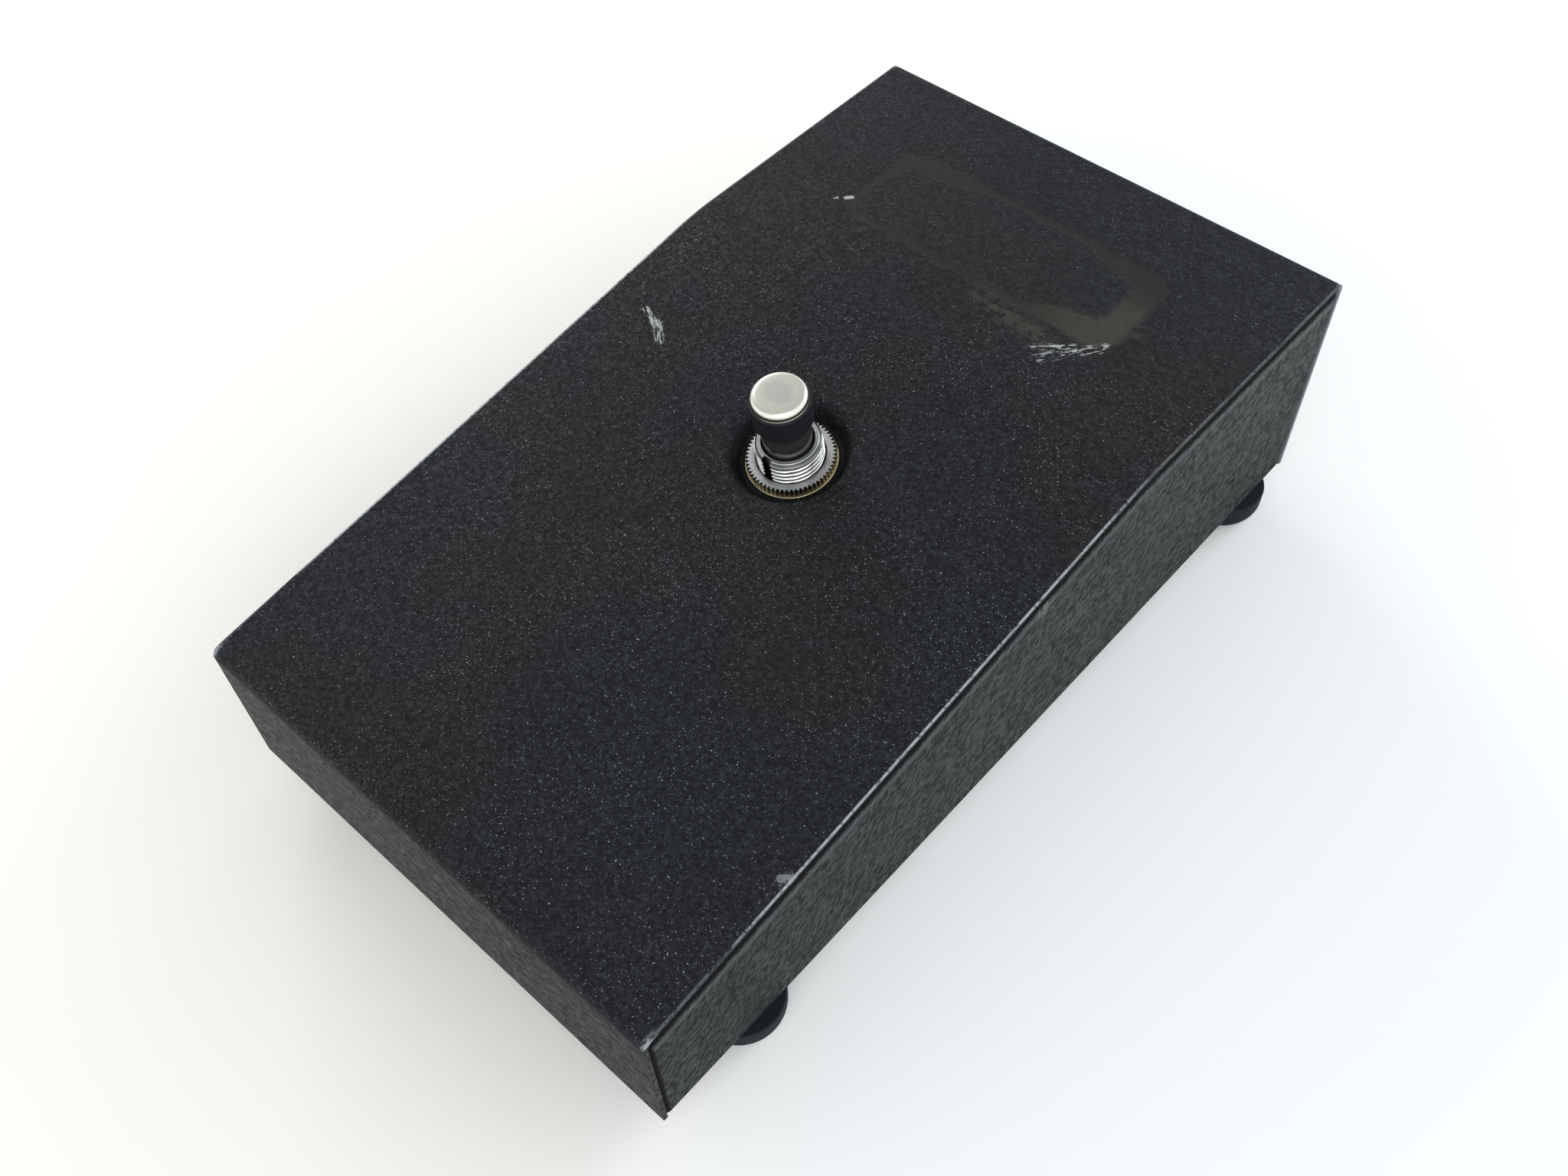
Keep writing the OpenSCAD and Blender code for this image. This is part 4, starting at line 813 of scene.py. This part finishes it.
# The return spring's coil has a closed turn at each end
COIL_R, WIRE_R, OPEN_TURNS, COIL_STEPS, WIRE_SIDES = 3.3, 0.3, 4.5, 28, 10
spring = NODES["switch_spring"]
heights = [(SWITCH.inverted() @ (spring.matrix_world @ v.co / MM)).z for v in spring.data.vertices]
coil_low, coil_high = min(heights), max(heights)
closed_rise = 2.02 * WIRE_R
open_rise = (coil_high - coil_low - 2 * WIRE_R - 2 * closed_rise) / OPEN_TURNS
bm = bmesh.new()
sections = []
for k in range(round((OPEN_TURNS + 2) * COIL_STEPS) + 1):
    turn = k / COIL_STEPS
    closed = min(turn, 1) + max(turn - 1 - OPEN_TURNS, 0)
    z = coil_low + WIRE_R + closed * closed_rise + (turn - closed) * open_rise
    a = math.tau * turn
    section = []
    for m in range(WIRE_SIDES):
        b = math.tau * m / WIRE_SIDES
        r = COIL_R + WIRE_R * math.cos(b)
        point = Vector((r * math.cos(a), r * math.sin(a), z + WIRE_R * math.sin(b)))
        section.append(bm.verts.new((SWITCH @ point) * MM))
    sections.append(section)
for one, two in zip(sections, sections[1:]):
    for m in range(WIRE_SIDES):
        n = (m + 1) % WIRE_SIDES
        bm.faces.new((one[m], one[n], two[n], two[m]))
bm.faces.new(sections[0])
bm.faces.new(sections[-1][::-1])
coil = finish_mesh("switch_coil", bm, WIRE_STEEL, "enclosure", angle=50, nodes=["switch_spring"])
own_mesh(coil)

# ---- Jacks and level control, in frames on the rear face ----
JACK_R, JACK_BORE, JACK_OUT = 4.7, 3.2, 6.6
JACK_NUT_FLATS, CONTROL_NUT_FLATS = 12.7, 10.0
CONTROL_R, SHAFT_BORE, CONTROL_OUT, CONTROL_THREAD_LOW = 3.5, 3.05, 5.2, 0.3
CONTROL_PITCH, CONTROL_THREAD = 0.75, 0.3
for side in ("input", "output"):
    lo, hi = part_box(side + "_bushing")
    middle = (lo + hi) / 2
    at = place((middle.x, high.y, middle.z), (0, 1, 0), (1, 0, 0))
    inner = (lo.y - high.y) / MM
    wide = (hi.x - lo.x) / MM / 2
    barrel(side + "_barrel", at, JACK_R, [
        (JACK_BORE + 0.35, JACK_OUT), (JACK_BORE, JACK_OUT - 0.35), (JACK_BORE, inner)],
        inner, JACK_OUT, 0.2, 0.75, 0.32, BRIGHT, "enclosure", [side + "_bushing"],
        chamfer=0.5, flange=(wide, 1.2))
    lo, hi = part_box(side + "_washer")
    ring(side + "_washer_rim", at, (hi.x - lo.x) / MM / 2, JACK_R + 0.15, 0.0,
         (hi.y - lo.y) / MM, ZINC, "enclosure", [side + "_washer"])
    lo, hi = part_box(side + "_nut")
    hex_piece(side + "_hex", at, JACK_NUT_FLATS, JACK_R + 0.05, (lo.y - high.y) / MM,
              (hi.y - high.y) / MM, NICKEL, "enclosure", [side + "_nut"], turn=JACK_TURN)

lo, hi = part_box("pot_bushing")
inner = (lo.y - high.y) / MM
barrel("control_sleeve", KNOB_FACE, CONTROL_R, [(SHAFT_BORE, CONTROL_OUT), (SHAFT_BORE, inner)],
       inner, CONTROL_OUT, CONTROL_THREAD_LOW, CONTROL_PITCH, CONTROL_THREAD, BRIGHT,
       "enclosure", ["pot_bushing"], chamfer=0.3)
lo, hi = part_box("pot_washer")
ring("control_washer", KNOB_FACE, 6.0, CONTROL_R + 0.15, 0.0, (hi.y - lo.y) / MM, ZINC,
     "enclosure", ["pot_washer"])
lo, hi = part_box("pot_nut")
hex_piece("control_hex", KNOB_FACE, CONTROL_NUT_FLATS, CONTROL_R + 0.05, (lo.y - high.y) / MM,
          (hi.y - high.y) / MM, NICKEL, "enclosure", ["pot_nut"])
softened("volume_knob", 0.35, BLACK_PLASTIC, angle=40)

# The knob's white pointer line, set in its slot
lo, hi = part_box("volume_knob")
line = bmesh.new()
bmesh.ops.create_cube(line, size=1.0)
top, length, width, sunk = hi.y / MM, 5.6, 0.72, 0.3
for v in line.verts:
    grow = 1.0 if v.co.z < 0 else 0.8
    v.co = Vector((v.co.x * width * grow, 0, v.co.z * length)) + Vector((0, v.co.y * sunk, 0))
    v.co = (v.co + Vector((0, top - 0.32, KNOB.translation.z + 5.2))) * MM
bmesh.ops.bevel(line, geom=line.edges[:], offset=0.1 * MM, segments=2, affect="EDGES")
finish_mesh("knob_pointer", line, POINTER_WHITE, "knob", slot="nylon")

# ---- Feet ----
FOOT_R, FOOT_H, FOOT_EDGE, HOLE_R, SCREW_R, SEAT = 8.25, 7.0, 4.0, 3.1, 1.75, 3.0
for foot in [n for n in NODES if n.startswith("foot_") and SLOT_OF[n] == "black_rubber"]:
    lo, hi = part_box(foot)
    middle = (lo + hi) / 2
    at = place((middle.x, middle.y, 0), (0, 0, 1), (1, 0, 0))
    bm = bmesh.new()
    profile = [(HOLE_R, 0), (FOOT_R, 0), (FOOT_R, FOOT_H), (SCREW_R, FOOT_H),
               (SCREW_R, SEAT), (HOLE_R, SEAT)]
    radii = [0.25, FOOT_EDGE - 0.05, 0.35, 0, 0, 0]
    turned(bm, at, rounded(profile, radii, 12), even(ROUND_SIDES))
    finish_mesh(foot + "_turned", bm, RUBBER, "enclosure", angle=50, nodes=[foot])

# ---- Stage ----
FLOOR_HALF = 3.0
ROOM_LEVEL = 1.60
ROOM_DIM = 1.12
bm = bmesh.new()
bmesh.ops.create_grid(bm, x_segments=1, y_segments=1, size=FLOOR_HALF)
mesh = bpy.data.meshes.new("floor")
bm.to_mesh(mesh)
bm.free()
g = Graph("floor_white")
x, y, _ = g.split()
# Painted tint of the shade on the floor: warm towards the front and left, cool towards the right
cool_shade_tint = g.step(g.add(g.mul(x, 0.8), g.mul(y, 0.6)), -45, 15)
tone = g.mix(cool_shade_tint, (0.90, 0.865, 0.815), (0.865, 0.895, 0.885))
tone = g.mix(g.mul(g.noise(0.01, 3, 0.6), 0.3), tone, (0.92, 0.92, 0.92))
g.set(Base_Color=tone, Roughness=0.9)
g.set(Specular_IOR_Level=0.1)
mesh.materials.append(g.mat)
floor = bpy.data.objects.new("floor", mesh)
bpy.context.scene.collection.objects.link(floor)

world = bpy.data.worlds.new("studio")
bpy.context.scene.world = world
world.use_nodes = True
tree = world.node_tree
sky = tree.nodes["Background"]
where = tree.nodes.new("ShaderNodeTexCoord").outputs["Generated"]


def sky_math(operation, a, b=0.0):
    node = tree.nodes.new("ShaderNodeMath")
    node.operation = operation
    for socket, value in zip(node.inputs, (a, b)):
        if isinstance(value, bpy.types.NodeSocket):
            tree.links.new(value, socket)
        else:
            socket.default_value = value
    return node.outputs[0]


def sky_patch(direction, inner, outer):
    """1 within inner degrees of the direction, falling to 0 at outer degrees."""
    dot = tree.nodes.new("ShaderNodeVectorMath")
    dot.operation = "DOT_PRODUCT"
    tree.links.new(where, dot.inputs[0])
    dot.inputs[1].default_value = Vector(direction).normalized()
    ramp = tree.nodes.new("ShaderNodeMapRange")
    ramp.interpolation_type = "SMOOTHSTEP"
    tree.links.new(dot.outputs["Value"], ramp.inputs["Value"])
    ramp.inputs["From Min"].default_value = math.cos(math.radians(outer))
    ramp.inputs["From Max"].default_value = math.cos(math.radians(inner))
    return ramp.outputs["Result"]


# A bright room, dim overhead towards the left, as above a table
dim = sky_patch((-0.40, 0.22, 0.89), 28, 74)
level = sky_math("SUBTRACT", ROOM_LEVEL, sky_math("MULTIPLY", dim, ROOM_DIM))
tree.links.new(level, sky.inputs["Strength"])
sky.inputs["Color"].default_value = (0.97, 1.0, 1.02, 1)


def softbox(name, at, size, power, colour):
    light = bpy.data.lights.new(name, "AREA")
    light.shape = "RECTANGLE"
    light.size, light.size_y = size
    light.energy = power
    light.color = colour
    obj = bpy.data.objects.new(name, light)
    obj.location = at
    obj.rotation_mode = "QUATERNION"
    obj.rotation_quaternion = (-Vector(at)).to_track_quat("-Z", "Y")
    bpy.context.scene.collection.objects.link(obj)


softbox("window_left", (-1.5, 0.5, 0.75), (0.8, 0.5), 8, (1.0, 0.98, 0.94))
softbox("window_rear", (0.5, 1.6, 0.8), (0.7, 0.5), 6, (0.94, 0.98, 1.0))
softbox("over_shoulder", (0.75, -0.85, 1.15), (0.9, 0.9), 4.0, (1.0, 1.0, 1.0))

# ---- Camera, solved from the wedge's own edges ----
data = bpy.data.cameras.new("camera")
LENS, SENSOR = 34.84, 36
CAMERA_X, BEFORE_FRONT, CAMERA_Z = 0.121836, 0.037590, 0.248737
data.lens = LENS
data.sensor_width = SENSOR
data.shift_x, data.shift_y = 0.0110, 0.0248
data.clip_start, data.clip_end = 0.01, 20
camera = bpy.data.objects.new("camera", data)
RIGHT = Vector((0.7373169, 0.6742986, -0.0410521))
DOWN = Vector((0.5336285, -0.6186092, -0.5766830))
AHEAD = Vector((-0.4142517, 0.4032915, -0.8159359))
camera.matrix_world = Matrix.Translation((CAMERA_X, low.y - BEFORE_FRONT, CAMERA_Z)) @ (
    Matrix((RIGHT, -DOWN, -AHEAD)).transposed().to_4x4())
bpy.context.scene.collection.objects.link(camera)
bpy.context.scene.camera = camera
bpy.context.scene.view_settings.view_transform = "Standard"
bpy.context.scene.view_settings.look = "None"
